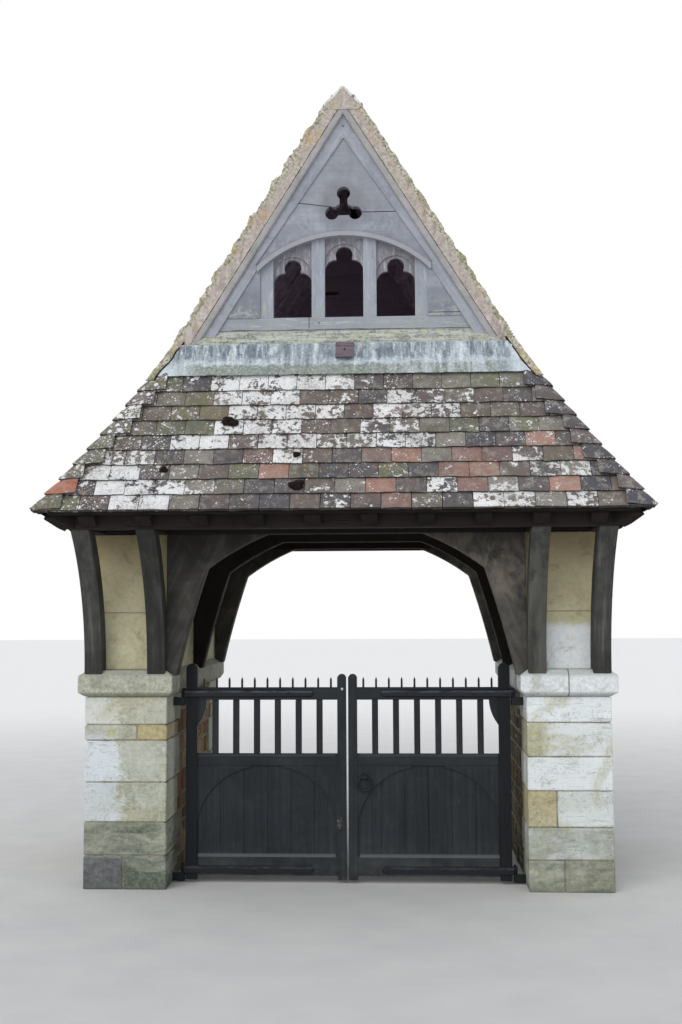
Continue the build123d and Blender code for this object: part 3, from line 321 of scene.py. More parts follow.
def plain_tiles():
    """Old clay tiles: each face carries its own tone, warmth, moss, two kinds of lichen, and painted shade on
    its edge faces.
    """
    net = Net("clay_tiles", specular=0.2)
    place = net.place
    warm = net.value("warm")
    fine = net.noise(place, 150.0, 6.0, 0.65)
    blotch = net.noise(place, 26.0, 6.0, 0.62, 0.5)
    cloud = net.noise(place, 8.0, 4.0, 0.6, 0.3)
    mottle = net.muladd(blotch, 0.45, -0.22)
    tone = net.value("tone") + mottle
    body = net.ramp(tone, (0.06, 86, 86, 92), (0.2, 102, 98, 100), (0.36, 118, 105, 103),
                    (0.52, 120, 112, 103), (0.7, 127, 124, 114), (0.9, 146, 140, 134))
    burnt = net.ramp(warm + mottle, (0.12, 126, 106, 104), (0.4, 150, 122, 115), (0.66, 176, 138, 123),
                     (0.96, 196, 118, 92))
    colour = net.mix(net.band(warm, 0.05, 0.35), body, burnt)
    grime = net.band(fine * 0.5 + cloud * 0.5, 0.42, 0.62, 0.0, 0.55)
    across = net.parts(place)[0]
    grime = grime * net.band(across, 0.55, 1.0, 1.0, 0.35)
    colour = net.mix(grime, colour, tint(72, 68, 66))
    green = net.band(blotch + net.value("moss"), 0.78, 1.15)
    colour = net.mix(green * 0.75, colour, net.ramp(cloud, (0.36, 100, 108, 94), (0.6, 122, 121, 94)))
    film = net.noise(place, 21.0, 8.0, 0.74, 0.15)
    film = net.band(film, 0.5, 0.6) * net.band(across, 0.55, 1.0, 0.42, 0.62)
    colour = net.mix(film, colour, tint(160, 156, 150))
    crust = net.noise(place, 34.0, 8.0, 0.66, 0.35)
    field = net.noise(place, 11.0, 3.0, 0.55, 0.4)
    cover = crust * 0.62 + field * 0.38
    cover = cover + net.value("pale") * 0.2
    white = net.band(cover, 0.618, 0.646)
    size = net.noise(place, 38.0, 2.0)
    dots = net.most(net.band(net.cells(place, 44.0) - size * 0.5, -0.06, 0.01, 1.0, 0.0),
                    net.band(net.cells(place, 92.0), 0.18, 0.28, 1.0, 0.0))
    thick = net.band(net.noise(place, 15.0, 3.0, 0.6) + net.value("dots") * 0.3, 0.6, 0.66)
    dots = dots * thick
    ragged = net.noise(place, 60.0, 5.0, 0.7)
    dabs = net.band(net.cells(place, 19.0) - (size * 0.26 + ragged * 0.26), -0.02, 0.03, 1.0, 0.0)
    dots = net.most(dots, dabs * net.band(net.value("dots"), 0.55, 0.75))
    white = net.most(white, dots)
    shade = net.ramp(net.noise(place, 95.0, 5.0, 0.7) * 0.6 + net.noise(place, 6.0, 3.0) * 0.4,
                     (0.34, 140, 139, 136), (0.44, 204, 203, 202), (0.52, 234, 235, 236),
                     (0.66, 250, 252, 254))
    colour = net.mix(white * 0.94, colour, shade)
    # Painted shade: the edge and under faces of tiles and bonnets are darkened to draw the shadow lines under
    # the courses and in the joints
    colour = net.mix(net.value("edge") * 0.85, colour,
                     net.ramp(fine, (0.3, 40, 37, 36), (0.7, 70, 64, 60)))
    gold = (net.band(net.cells(place, 26.0), 0.12, 0.24, 1.0, 0.0)
            * net.band(net.noise(place, 4.0, 2.0), 0.6, 0.66))
    colour = net.mix(gold * 0.7, colour, tint(186, 150, 92))
    height = fine * 0.5 + white * 0.8
    return net.finish(colour, net.band(white, 0.0, 1.0, 0.78, 0.95), height, 0.0018)


def mossy_mortar(name, stops, mossy, bare):
    """Mortar at the verges and under the bonnets, bare or with crusts of lichen and dry moss."""
    net = Net(name, specular=0.12)
    place = net.place
    patch = net.noise(place, 9.0, 5.0, 0.65, 0.6)
    fine = net.noise(place, 60.0, 7.0, 0.7)
    growth = net.value("moss")
    colour = net.ramp(fine, *stops)
    colour = net.mix(net.band(patch, 0.48, 0.6) * 0.75, colour, net.ramp(fine, *mossy))
    streak = net.streaks(place, (26, 26, 9), 6.0, 0.66, 0.6)
    x, _, z = net.parts(place)
    growth = growth + net.band(z, 3.3, 4.3, 0.04, 0.24)
    covered = net.band(growth + streak * 0.9, 0.62, 0.95)
    colour = net.mix(covered, net.ramp((streak + fine) * 0.5, *bare), colour)
    ochre = net.band(net.noise(place, 5.3, 4.0, 0.6, 0.3), 0.57, 0.66)
    colour = net.mix(ochre * 0.5, colour, tint(200, 178, 130))
    spots = net.most(net.near(z, HIGH_SPOT, 0.07), net.near(z, LOW_SPOT, 0.05))
    spots = spots * net.band(x, 0.0, -0.05, 0.25, 1.0)
    spots = spots * net.band(net.noise(place, 34.0, 6.0, 0.7), 0.46, 0.62)
    colour = net.mix(spots * 0.7, colour, tint(206, 172, 116))
    rose = net.band(net.noise(place, 7.7, 4.0, 0.6, 0.5), 0.60, 0.70)
    colour = net.mix(rose * 0.5, colour, tint(192, 164, 152))
    white = net.band(net.noise(place, 30.0, 6.0, 0.7, 0.7), 0.58, 0.64)
    white = white * net.band(covered, 0.0, 1.0, 0.25, 0.9)
    colour = net.mix(white, colour, tint(226, 226, 222))
    height = (fine + white * 0.5) * net.band(covered, 0.0, 1.0, 0.35, 1.0)
    return net.finish(colour, 0.95, height, 0.007)


def ashlar():
    """Squared limestone: lime-washed above, green and worn below, with values for each block."""
    net = Net("ashlar", specular=0.2)
    place = net.place
    x, y, z = net.parts(place)
    stain = net.value("moss")
    broad = net.noise(place, 5.5, 6.0, 0.62, 0.5)
    fine = net.noise(place, 46.0, 8.0, 0.72)
    grit = net.noise(place, 240.0, 4.0, 0.7)
    tooled = net.streaks(place, (9, 9, 95), 6.0, 0.65, 0.5)
    level = net.value("tone") * 0.52 + (fine * 0.3 + broad * 0.18)
    stone = net.ramp(level, (0.22, 138, 140, 126), (0.42, 190, 193, 180), (0.58, 220, 226, 222),
                     (0.76, 244, 250, 253))
    warm = net.value("warm")
    ochre = warm * net.band(broad, 0.34, 0.56, 0.55, 1.0)
    stone = net.mix(ochre, stone, net.ramp(fine, (0.3, 158, 142, 92), (0.7, 212, 196, 146)))
    wash = net.band(broad, 0.5, 0.58) * net.band(stain, 0.0, 0.8, 0.6, 0.0)
    wash = wash * net.band(warm, 0.5, 0.9, 1.0, 0.15)
    stone = net.mix(wash, stone, tint(234, 240, 241))
    cream = net.band(net.noise(place, 3.2, 5.0, 0.6, 0.6), 0.5, 0.62) * 0.6
    stone = net.mix(cream, stone, net.ramp(fine, (0.3, 170, 168, 132), (0.7, 214, 210, 180)))
    ragged = net.noise(place, 13.0, 7.0, 0.66, 0.8)
    old = net.band(net.muladd(ragged, -0.34, x), -1.5, -1.44, 0.0, 1.0) * net.band(x, 0.0, -0.5)
    old = old * net.band(stain, 0.35, 0.15)
    old = old * net.band(warm, 0.7, 0.95, 0.62, 0.1)
    stone = net.mix(old, stone, net.ramp(fine, (0.3, 150, 152, 128), (0.7, 200, 200, 172)))
    cold = (net.band(net.muladd(ragged, -0.34, x), -1.46, -1.52)
            * (net.band(z, 0.36, 0.4) * net.band(z, 0.9, 0.84)))
    stone = net.mix(cold * 0.7, stone, tint(228, 236, 244))
    layers = net.streaks(place, (4.5, 4.5, 15), 7.0, 0.62, 0.5)
    green = net.math("ADD", stain * 0.75, (0.5 - layers) * (stain * 3.0), limit=True)
    stone = net.mix(green, stone,
                    net.ramp(fine, (0.3, 72, 82, 74), (0.5, 102, 112, 100), (0.72, 152, 154, 132)))
    slate = net.band(net.muladd(ragged, 0.06, x), -1.23, -1.27) * net.band(z, 0.2, 0.17)
    stone = net.mix(slate * 0.7, stone, net.ramp(fine, (0.3, 82, 82, 90), (0.7, 128, 127, 136)))
    yellow = (net.band(net.muladd(ragged, 0.16, x), 1.26, 1.18)
              * (net.band(z, 0.745, 0.76) * net.band(z, 0.945, 0.935)))
    yellow = yellow * net.band(x, 0.9, 1.0)
    stone = net.mix(yellow * 0.7, stone, net.ramp(fine, (0.3, 150, 148, 110), (0.7, 206, 202, 158)))
    foot = net.band(z + fine * 0.1, 0.03, 0.16, 0.45, 0.0)
    stone = net.mix(foot, stone, tint(90, 98, 90))
    lines = net.band(tooled, 0.55, 0.66) * 0.24
    stone = net.mix(lines, stone, tint(126, 124, 108))
    bed = net.streaks(place, (1.6, 1.6, 19), 3.0, 0.45, 0.1)
    crack = net.near(bed, 0.5, 0.012) * net.band(net.noise(place, 6.0, 3.0), 0.5, 0.6)
    stone = net.mix(crack * 0.26, stone, tint(112, 110, 98))
    dirt = net.band(net.noise(place, 17.0, 8.0, 0.72, 0.9), 0.54, 0.66)
    stone = net.mix(dirt * 0.38, stone, tint(134, 134, 122))
    pits = net.band(net.cells(place, 105.0), 0.14, 0.28, 1.0, 0.0)
    pits = pits * net.band(net.noise(place, 9.0, 4.0), 0.47, 0.56)
    stone = net.mix(pits * 0.62, stone, tint(96, 96, 86))
    spot = net.root((x + SPOT_LEFT) ** 2.0 + (z - SPOT_HEIGHT) ** 2.0)
    spot = net.band(net.muladd(ragged, 0.09, spot), 0.05, 0.09, 1.0, 0.0)
    spot = spot * net.band(y, -0.9, -0.95)
    stone = net.mix(spot * 0.5, stone, tint(190, 192, 104))
    height = fine + (grit + tooled) * 0.35
    height = height - (pits * 0.9 + crack * 0.25)
    return net.finish(stone, 0.9, height, 0.0030)


def rubble():
    """Rough warm walling stones, with a tone per stone, and painted shade on the right face of the passage.
    """
    net = Net("rubble", specular=0.2)
    place = net.place
    fine = net.noise(place, 40.0, 8.0, 0.7)
    tone = net.value("tone") * 0.7 + fine * 0.3
    colour = net.ramp(tone, (0.18, 92, 84, 74), (0.36, 142, 116, 86), (0.54, 168, 132, 92),
                      (0.72, 178, 152, 118), (0.9, 196, 184, 160))
    colour = net.mix(net.value("warm") * 0.55, colour, tint(150, 100, 76))
    dirt = net.band(net.noise(place, 9.0, 5.0), 0.52, 0.66)
    colour = net.mix(dirt * 0.5, colour, tint(84, 80, 66))
    x, _, z = net.parts(place)
    outside = net.band(abs(x), 1.4, 1.46) * net.band(fine, 0.3, 0.7, 0.85, 0.6)
    colour = net.mix(outside, colour,
                     net.ramp(tone, (0.2, 98, 94, 84), (0.5, 142, 136, 118), (0.8, 174, 168, 148)))
    foot = net.band(z, 0.02, 0.24, 0.6, 0.0)
    colour = net.mix(foot, colour, tint(80, 82, 66))
    # Painted shade: the right face of the passage is darker and green-grey
    damp_and_shade = net.band(x, 0.9, 1.0) * net.band(x, 1.2, 1.1)
    damp_and_shade = damp_and_shade * net.band(fine, 0.34, 0.64, 0.9, 0.55)
    colour = net.mix(damp_and_shade, colour, net.ramp(fine, (0.34, 52, 54, 44), (0.66, 96, 98, 80)))
    return net.finish(colour, 0.93, fine, 0.005)


def lime_mortar():
    net = Net("lime_mortar", specular=0.15)
    fine = net.noise(net.place, 75.0, 7.0, 0.7)
    colour = net.ramp(fine, (0.28, 110, 102, 88), (0.5, 158, 150, 132), (0.72, 190, 184, 166))
    dirt = net.band(net.noise(net.place, 6.0, 4.0), 0.50, 0.64)
    colour = net.mix(dirt * 0.55, colour, tint(96, 92, 76))
    return net.finish(colour, 0.95, fine, 0.004)


def string_stone():
    """The string course: cream on one side and limewashed on the other, with fine joints and painted shade on
    its underside.
    """
    net = Net("string_stone", specular=0.2)
    place = net.place
    x, y, z = net.parts(place)
    fine = net.noise(place, 52.0, 8.0, 0.72)
    broad = net.noise(place, 6.0, 5.0, 0.6, 0.4)
    colour = net.ramp(fine, (0.28, 146, 144, 128), (0.48, 180, 181, 164), (0.68, 210, 212, 197))
    colour = net.mix(net.band(broad, 0.5, 0.62) * 0.5, colour, tint(134, 134, 116))
    washed = net.band(x, -0.1, 0.1) * net.band(broad, 0.66, 0.56, 0.55, 0.95)
    colour = net.mix(washed, colour, net.ramp(fine, (0.3, 206, 213, 213), (0.6, 246, 251, 253)))
    top = net.band(z, 1.19, 1.225) * net.band(fine, 0.36, 0.56)
    colour = net.mix(top * 0.6, colour, tint(176, 182, 172))
    # Painted shade: darker towards the lower edge of the string course
    under = net.band(z, WALL_TOP, 1.125, 0.5, 0.0)
    colour = net.mix(under, colour, tint(108, 108, 92))
    joint = net.near(x, STRING_JOINT_X, 0.0035)
    joint = joint * net.band(y, -0.9, -0.8, 1.0, 0.0)
    cross = net.near(abs(y), STRING_JOINT_Y, 0.0035)
    joint = net.most(joint, cross)
    colour = net.mix(joint * 0.85, colour, tint(92, 88, 76))
    specks = (net.band(net.cells(place, 70.0), 0.12, 0.22, 1.0, 0.0)
              * net.band(net.noise(place, 8.0), 0.54, 0.62))
    colour = net.mix(specks * 0.6, colour, tint(104, 104, 98))
    height = fine - joint * 1.6
    return net.finish(colour, 0.9, height, 0.0035)


def upper_stone(name, washed):
    """Smooth ochre facing, darker towards the top with painted shade under the plates, lighter below, and
    limewashed at one foot.
    """
    net = Net(name, specular=0.2)
    place = net.place
    z = net.parts(place)[2]
    fine = net.noise(place, 50.0, 8.0, 0.7)
    broad = net.noise(place, 3.6, 5.0, 0.62, 0.5)
    grit = net.noise(place, 260.0, 3.0, 0.7)
    colour = net.ramp(broad * 0.6 + fine * 0.4, (0.32, 180, 172, 138), (0.46, 212, 206, 172),
                      (0.58, 228, 224, 190), (0.72, 240, 238, 212))
    # Painted shade: darker and browner towards the top, under the plates
    uneven = z + broad * 0.35
    colour = net.mix(net.band(uneven, 1.50, 2.10, 0.0, 0.42), colour, tint(194, 172, 122))
    colour = net.mix(net.band(uneven, 1.98, 2.24, 0.0, 0.55), colour, tint(120, 98, 64))
    if washed:
        low = net.band(z + fine * 0.12, 1.535, 1.585, 1.0, 0.0)
        colour = net.mix(low * 0.94, colour, net.ramp(fine, (0.3, 226, 235, 239), (0.6, 251, 254, 255)))
    joint = net.near(net.muladd(fine, 0.006, z), UPPER_BED, 0.0035)
    colour = net.mix(joint * 0.45, colour, tint(122, 108, 82))
    stain = net.band(net.noise(place, 7.0, 6.0, 0.65, 0.8), 0.54, 0.66) * 0.4
    colour = net.mix(stain, colour, tint(138, 124, 92))
    height = fine + grit * 0.3 - joint * 1.2
    return net.finish(colour, 0.92, height, 0.003)


def lead_sheet():
    """Old lead: dark damp dashes under the ledge, white runs in the middle, grey-green below."""
    net = Net("lead_sheet", specular=0.5)
    place = net.place
    x, _, z = net.parts(place)
    runs = net.streaks(place, (26, 4, 3.0), 6.0, 0.66, 0.3)
    fine = net.noise(place, 70.0, 6.0, 0.65)
    broad = net.noise(place, 3.4, 4.0, 0.6)
    colour = net.ramp(runs * 0.62 + fine * 0.38, (0.36, 98, 108, 118), (0.45, 138, 150, 158),
                      (0.53, 172, 184, 190), (0.63, 222, 229, 232))
    dashes = net.streaks(place, (30, 2, 7), 5.0, 0.68, 0.6)
    uneven = z + (net.noise(place, 21.0, 5.0, 0.6) - 0.5) * 0.075
    row = net.band(uneven, 3.04, 3.062) * net.band(uneven, 3.134, 3.148, 1.0, 0.0)
    damp_and_shade = row * net.band(dashes, 0.47, 0.53, 1.0, 0.0)
    damp_and_shade = damp_and_shade * net.band(broad, 0.38, 0.5, 0.25, 0.85)
    colour = net.mix(damp_and_shade, colour, net.ramp(fine, (0.35, 80, 88, 104), (0.65, 118, 128, 142)))
    outward = abs(x)
    low = net.band(uneven, 2.995, 3.02, 0.85, 0.0) * net.band(outward, 0.98, 0.82)
    colour = net.mix(low, colour,
                     net.ramp(fine, (0.35, 98, 106, 102), (0.52, 136, 144, 136), (0.68, 184, 190, 180)))
    stripe = net.near(uneven, 3.022, 0.016) * net.band(broad, 0.4, 0.54, 0.05, 0.45)
    ends = net.band(outward, 0.88, 1.02) * net.band(z, 3.05, 2.98, 0.0, 0.75)
    bright = net.band(x, 0.1, 0.5) * net.band(runs, 0.42, 0.58) * 0.5
    bright = net.most(net.most(stripe, ends), bright)
    colour = net.mix(bright, colour, net.ramp(fine, (0.35, 186, 199, 208), (0.65, 224, 233, 240)))
    net.shader.inputs["Metallic"].default_value = 0.15
    return net.finish(colour, net.band(fine, 0.3, 0.7, 0.5, 0.75), fine + runs, 0.0025)


def sill_marks(net, colour):
    """Lichen crust and dark cracks on the ledge, and green damp on the band above it."""
    x, _, z = net.parts(net.place)
    fine = net.noise(net.place, 46.0, 8.0, 0.72, 0.6)
    long = net.streaks(net.place, (5, 20, 60), 6.0, 0.65, 0.6)
    ledge = net.band(z + fine * 0.03, 3.236, 3.252, 1.0, 0.0)
    crust = net.ramp(fine * 0.55 + long * 0.45, (0.36, 72, 73, 70), (0.44, 132, 136, 130),
                     (0.5, 176, 180, 172), (0.57, 206, 209, 203), (0.68, 232, 234, 232))
    colour = net.mix(ledge, colour, crust)
    gold = net.band(net.noise(net.place, 13.0, 4.0, 0.6), 0.55, 0.62) * ledge
    colour = net.mix(gold * 0.32, colour, tint(202, 202, 150))
    damp_and_shade = net.band(fine, 0.46, 0.62) * net.band(z, 3.25, 3.33, 0.55, 0.1)
    colour = net.mix(damp_and_shade, colour, tint(172, 178, 158))
    flecks = net.band(long, 0.56, 0.64) * net.band(z, 3.24, 3.25)
    colour = net.mix(flecks * 0.55, colour, tint(208, 210, 208))
    worn = net.band(net.noise(net.place, 7.0, 5.0, 0.65), 0.52, 0.62) * ledge
    colour = net.mix(worn * 0.5, colour, tint(128, 130, 124))
    seam = net.near(net.muladd(long, 0.02, z), SILL_SEAM, 0.004)
    colour = net.mix(seam * 0.75, colour, tint(52, 52, 52))
    joint = net.near(x, SILL_JOINT, 0.003) * net.band(z, 3.24, 3.25)
    hole = net.near(x, SILL_HOLE[0], 0.006) * net.near(z, SILL_HOLE[1], 0.006)
    joint = net.most(joint, hole)
    return net.mix(joint * 0.85, colour, tint(46, 44, 48))


def panel_marks(net, colour):
    """Joints between the boards of the gablet, a painted highlight on the rib of its arch with painted shade
    along the rib's outer edge, and dirt at the holes.
    """
    x, _, z = net.parts(net.place)
    broad = net.noise(net.place, 3.0, 5.0, 0.6, 0.4)
    stain = net.streaks(net.place, (9, 9, 1.6), 5.0, 0.6)
    colour = net.mix(net.band(broad, 0.46, 0.62) * 0.35, colour, tint(140, 142, 154))
    colour = net.mix(net.band(stain, 0.52, 0.64) * 0.35, colour, tint(132, 134, 144))
    cloud = net.noise(net.place, 15.0, 7.0, 0.68, 0.6)
    colour = net.mix(net.band(cloud, 0.52, 0.62) * 0.4, colour, tint(178, 180, 190))
    colour = net.mix(net.band(cloud, 0.46, 0.36) * 0.4, colour, tint(128, 128, 136))
    upper = net.band(z, 3.962, 3.972) * 0.35
    colour = net.mix(upper, colour, tint(150, 154, 158))
    colour = net.mix(net.band(z, 3.50, 3.46, 0.0, 0.55), colour, tint(120, 125, 136))
    lichen = net.band(z, 3.44, 3.33) * net.band(cloud, 0.48, 0.56)
    colour = net.mix(lichen * 0.5, colour, tint(188, 194, 182))
    from_hole = net.root(x ** 2.0 + (z - TREFOIL_Z) ** 2.0)
    halo = net.band(from_hole + broad * 0.08, 0.14, 0.22, 0.45, 0.0)
    colour = net.mix(halo, colour, tint(118, 114, 120))
    arch = net.root(x ** 2.0 + (z - HEAD_CENTRE) ** 2.0)
    # Painted highlight: the rib of the arch is lighter
    rib = net.near(arch, HEAD_RADIUS + 0.014, 0.016) * net.band(z, 3.5, 3.52)
    colour = net.mix(rib * 0.7, colour, tint(170, 170, 172))
    # Painted shade: a dark line along the outer edge of the rib, added to the joints below
    under = net.near(arch, HEAD_RADIUS + 0.0295, 0.003) * net.band(z, 3.5, 3.52)
    left_line = net.muladd(x, -0.14, LEFT_JOINT)
    left = net.near(z - left_line, 0.0, 0.0035) * net.band(x, -0.07, -0.072)
    right = net.near(z, RIGHT_JOINT, 0.0035) * net.band(x, 0.07, 0.072)
    joint = net.most(left, right)
    low = net.near(z, PANEL_FOOT, 0.003) * net.band(x, 0.49, 0.492)
    joint = net.most(joint, low)
    joint = net.most(joint, under * 0.5)
    return net.mix(joint * 0.9, colour, tint(40, 38, 42))


def barge_marks(net, colour):
    """Grey-green and beige weathering on the outer roll, and a peg at the apex."""
    x, y, z = net.parts(net.place)
    fine = net.noise(net.place, 30.0, 6.0, 0.65, 0.4)
    outer = net.band(y, -0.9635, -0.9625, 1.0, 0.0)
    rear = net.band(y, 0.9625, 0.9635)
    roll = net.most(outer, rear)
    broad = net.noise(net.place, 4.0, 4.0, 0.6)
    tinted = net.ramp(fine * 0.5 + broad * 0.5, (0.36, 142, 142, 128), (0.48, 168, 164, 158),
                      (0.6, 186, 178, 176))
    cloud = net.noise(net.place, 13.0, 7.0, 0.68, 0.6)
    colour = net.mix(net.band(cloud, 0.5, 0.62) * 0.4, colour, tint(182, 182, 190))
    colour = net.mix(net.band(cloud, 0.47, 0.36) * 0.45, colour, tint(134, 132, 138))
    colour = net.mix(roll * 0.65, colour, tinted)
    peg = net.near(x, 0.0, 0.01) * net.near(z, PEG_HEIGHT, 0.01)
    return net.mix(peg * 0.7, colour, tint(96, 92, 96))


def tracery_marks(net, colour):
    """Painted shade on the set-back faces round the heads of the lights, and painted light on the front
    faces.
    """
    _, y, z = net.parts(net.place)
    fine = net.noise(net.place, 26.0, 6.0, 0.65, 0.5)
    # Painted shade on the faces set back from the front
    sunk = net.band(abs(y), 0.926, 0.93, 1.0, 0.0)
    shade = sunk * net.band(fine, 0.36, 0.62, 0.35, 0.8)
    colour = net.mix(shade, colour, tint(128, 120, 124))
    # Painted light on the front faces
    pale = 1.0 - sunk
    colour = net.mix(pale * 0.5, colour, tint(166, 174, 184))
    streak = net.streaks(net.place, (60, 60, 7), 6.0, 0.7, 0.5)
    colour = net.mix(net.band(streak, 0.54, 0.62) * 0.45, colour, tint(204, 208, 212))
    colour = net.mix(net.band(streak, 0.44, 0.36) * 0.4, colour, tint(124, 126, 134))
    green = net.band(z, 3.42, 3.31, 0.0, 0.5) * net.band(fine, 0.45, 0.58)
    return net.mix(green, colour, tint(178, 182, 150))


def gate_paint(name, tilt=(0, 0, 0)):
    """Slate-black paint over oak: the grain shows through, with dust and worn places, painted shade on the
    hanging stiles and painted highlights along the rails.
    """
    net = Net(name, specular=0.22)
    place = net.place
    grain = net.turned(place, tilt)
    fibre = net.streaks(grain, (60, 60, 2.2), 6.0, 0.6, 0.3)
    broad = net.noise(place, 3.4, 4.0, 0.6)
    fine = net.noise(place, 150.0, 5.0, 0.65)
    colour = net.ramp(fibre * 0.5 + broad * 0.5, (0.3, 26, 29, 33), (0.48, 36, 41, 45),
                      (0.62, 49, 54, 58), (0.78, 68, 73, 76))
    x, _, z = net.parts(place)
    dust = net.band(z, 0.0, 0.3, 0.3, 0.0) * net.band(broad, 0.4, 0.6)
    colour = net.mix(dust, colour, tint(98, 98, 92))
    rub = net.band(net.streaks(grain, (30, 30, 5), 6.0, 0.7), 0.66, 0.74)
    colour = net.mix(rub * 0.4, colour, tint(92, 94, 94))
    cloud = net.noise(place, 7.0, 5.0, 0.62, 0.5)
    colour = net.mix(net.band(cloud, 0.48, 0.64) * 0.4, colour, tint(32, 36, 44))
    colour = net.mix(net.band(cloud, 0.46, 0.3) * 0.22, colour, tint(60, 65, 68))
    from_middle = abs(x)
    # Painted shade: the hanging stiles are darkened, as if shaded by the piers
    pier_shade = net.band(from_middle, 0.868, 0.884, 0.0, 0.9)
    colour = net.mix(pier_shade, colour, tint(16, 20, 25))
    # Painted highlights: light lines along the top chamfers of the bottom and middle rails
    bright = net.most(net.near(z, LOW_RAIL, 0.011) * 0.75, net.near(z, HIGH_RAIL, 0.009) * 0.28)
    bright = bright * net.band(from_middle, 0.884, 0.874)
    bright = bright * net.band(from_middle, 0.071, 0.073)
    bright = bright * net.band(fine, 0.3, 0.56, 0.6, 1.0)
    colour = net.mix(bright, colour, tint(98, 106, 111))
    worn = net.near(x, WORN_SPOT[0], 0.016) * net.near(z, WORN_SPOT[1], 0.045)
    worn = worn * net.band(net.noise(place, 60.0, 5.0, 0.7), 0.5, 0.58)
    colour = net.mix(worn * 0.7, colour, tint(128, 118, 102))
    height = fibre * 0.8 + fine * 0.2
    return net.finish(colour, net.band(fibre, 0.3, 0.7, 0.42, 0.62), height, 0.0012)


def black_iron():
    net = Net("black_iron", specular=0.35)
    place = net.place
    fine = net.noise(place, 160.0, 6.0, 0.65)
    broad = net.noise(place, 14.0, 4.0, 0.6)
    colour = net.ramp(fine, (0.3, 10, 12, 17), (0.55, 19, 22, 30), (0.75, 36, 40, 50))
    z = net.parts(place)[2]
    # Painted highlight: a broken light line along the upper side of each strap
    strap_highlight = net.most(net.near(z, HIGH_STRAP + 0.011, 0.008), net.near(z, LOW_STRAP + 0.012, 0.008) * 0.5)
    long = net.streaks(place, (9, 9, 40), 6.0, 0.7, 0.3)
    strap_highlight = strap_highlight * net.band(long, 0.42, 0.56, 0.05, 0.45)
    colour = net.mix(strap_highlight, colour, tint(98, 106, 122))
    rust = net.band(broad, 0.66, 0.74) * net.band(fine, 0.5, 0.62)
    colour = net.mix(rust * 0.4, colour, tint(84, 58, 44))
    return net.finish(colour, net.band(fine, 0.3, 0.7, 0.28, 0.5), fine, 0.0007)


def pale_bolt():
    net = Net("bright_bolt", specular=0.5)
    fine = net.noise(net.place, 220.0, 5.0, 0.6)
    colour = net.ramp(fine, (0.3, 168, 166, 160), (0.7, 226, 226, 222))
    net.shader.inputs["Metallic"].default_value = 0.4
    return net.finish(colour, net.band(fine, 0.3, 0.7, 0.35, 0.6), fine, 0.0005)


materials = {
    "oak_x": oak("dark_oak_across", DEEP_OAK, BOARD_X),
    "oak_eaves": oak("eaves_oak", EAVES_OAK, BOARD_X),
    "oak_y": oak("dark_oak_through", DEEP_OAK, BOARD_Y),
    "oak_bracket": oak("bracket_oak", DARK_OAK, fold=True, spread=(0.9, 0.12), crack=0.006,
                       gate=(0.56, 0.66), marks=bracket_marks),
    "oak_knee": oak("knee_oak", PALE_OAK, (0, math.radians(24), 0), fold=True, spread=(0.55, 0.12),
                    crack=0.004, gate=(0.60, 0.70), marks=knee_marks),
    "oak_deep_knee": oak("deep_knee_oak", DEEP_OAK, (0, math.radians(24), 0), fold=True,
                         spread=(0.55, 0.12), crack=0.004, gate=(0.60, 0.70)),
    "oak_inner": oak("inner_board_oak", INNER_OAK_PAINTED_LIGHT, BOARD_X, marks=inner_marks),
    "oak_rafter_x": oak("rafter_oak_side", DEEP_OAK, (0, math.radians(32), 0), fold=True, marks=slope_marks),
    "oak_rafter_y": oak("rafter_oak_front", DEEP_OAK, (math.radians(-26), 0, 0), fold=True),
    "oak_boards": oak("board_oak", DEEP_OAK, BOARD_Y, marks=slope_marks),
    "oak_boards_x": oak("board_oak_hip", DEEP_OAK, BOARD_X),
    "oak_block": oak("block_oak", ((0.25, 84, 74, 84), (0.5, 112, 98, 108),
                                   (0.75, 142, 128, 132)), BOARD_X),
    "silver_barge": oak("bargeboard_oak", SILVER_OAK, (0, math.radians(32), 0), fold=True,
                        gate=(0.64, 0.72), marks=barge_marks),
    "silver_panel": oak("panel_oak", SILVER_OAK, BOARD_X, gate=(0.68, 0.76), marks=panel_marks),
    "silver_tracery": oak("tracery_oak", SILVER_OAK, gate=(0.62, 0.72), marks=tracery_marks),
    "silver_sill": oak("sill_oak", SILVER_OAK, BOARD_X, gate=(0.58, 0.68), marks=sill_marks),
    "tiles": plain_tiles(),
    "moss": mossy_mortar("mossy_mortar",
                         ((0.30, 88, 84, 76), (0.48, 132, 126, 114), (0.70, 178, 172, 160)),
                         ((0.35, 96, 98, 80), (0.65, 150, 148, 122)),
                         ((0.35, 108, 102, 94), (0.62, 158, 150, 138))),
    "verge": mossy_mortar("verge_growth",
                          ((0.32, 92, 88, 74), (0.43, 158, 152, 134),
                           (0.54, 204, 198, 180), (0.68, 238, 234, 224)),
                          ((0.35, 122, 122, 92), (0.65, 186, 182, 146)),
                          ((0.36, 148, 138, 130), (0.48, 184, 173, 166), (0.62, 214, 204, 198))),
    "ashlar": ashlar(),
    "rubble": rubble(),
    "mortar": lime_mortar(),
    "string": string_stone(),
    "upper_left": upper_stone("upper_stone_left", False),
    "upper_right": upper_stone("upper_stone_right", True),
    "lead": lead_sheet(),
    "paint_z": gate_paint("gate_paint_upright"),
    "paint_x": gate_paint("gate_paint_across", BOARD_X),
    "iron": black_iron(),
    "bolt": pale_bolt(),
}


def dress(node, key):
    """Gives a carried-over node its material."""
    mesh = nodes[node].data
    mesh.materials.clear()
    mesh.materials.append(materials[key])
    for polygon in mesh.polygons:
        polygon.material_index = 0


def soften(node, width):
    """Rounds a node's edges a little, as handling and weather do."""
    weld = nodes[node].modifiers.new("weld", "WELD")
    weld.merge_threshold = 0.00005
    bevel = nodes[node].modifiers.new("edges", "BEVEL")
    bevel.width = width
    bevel.segments = 2
    bevel.limit_method = "ANGLE"
    bevel.angle_limit = math.radians(35.0)
    bevel.harden_normals = False


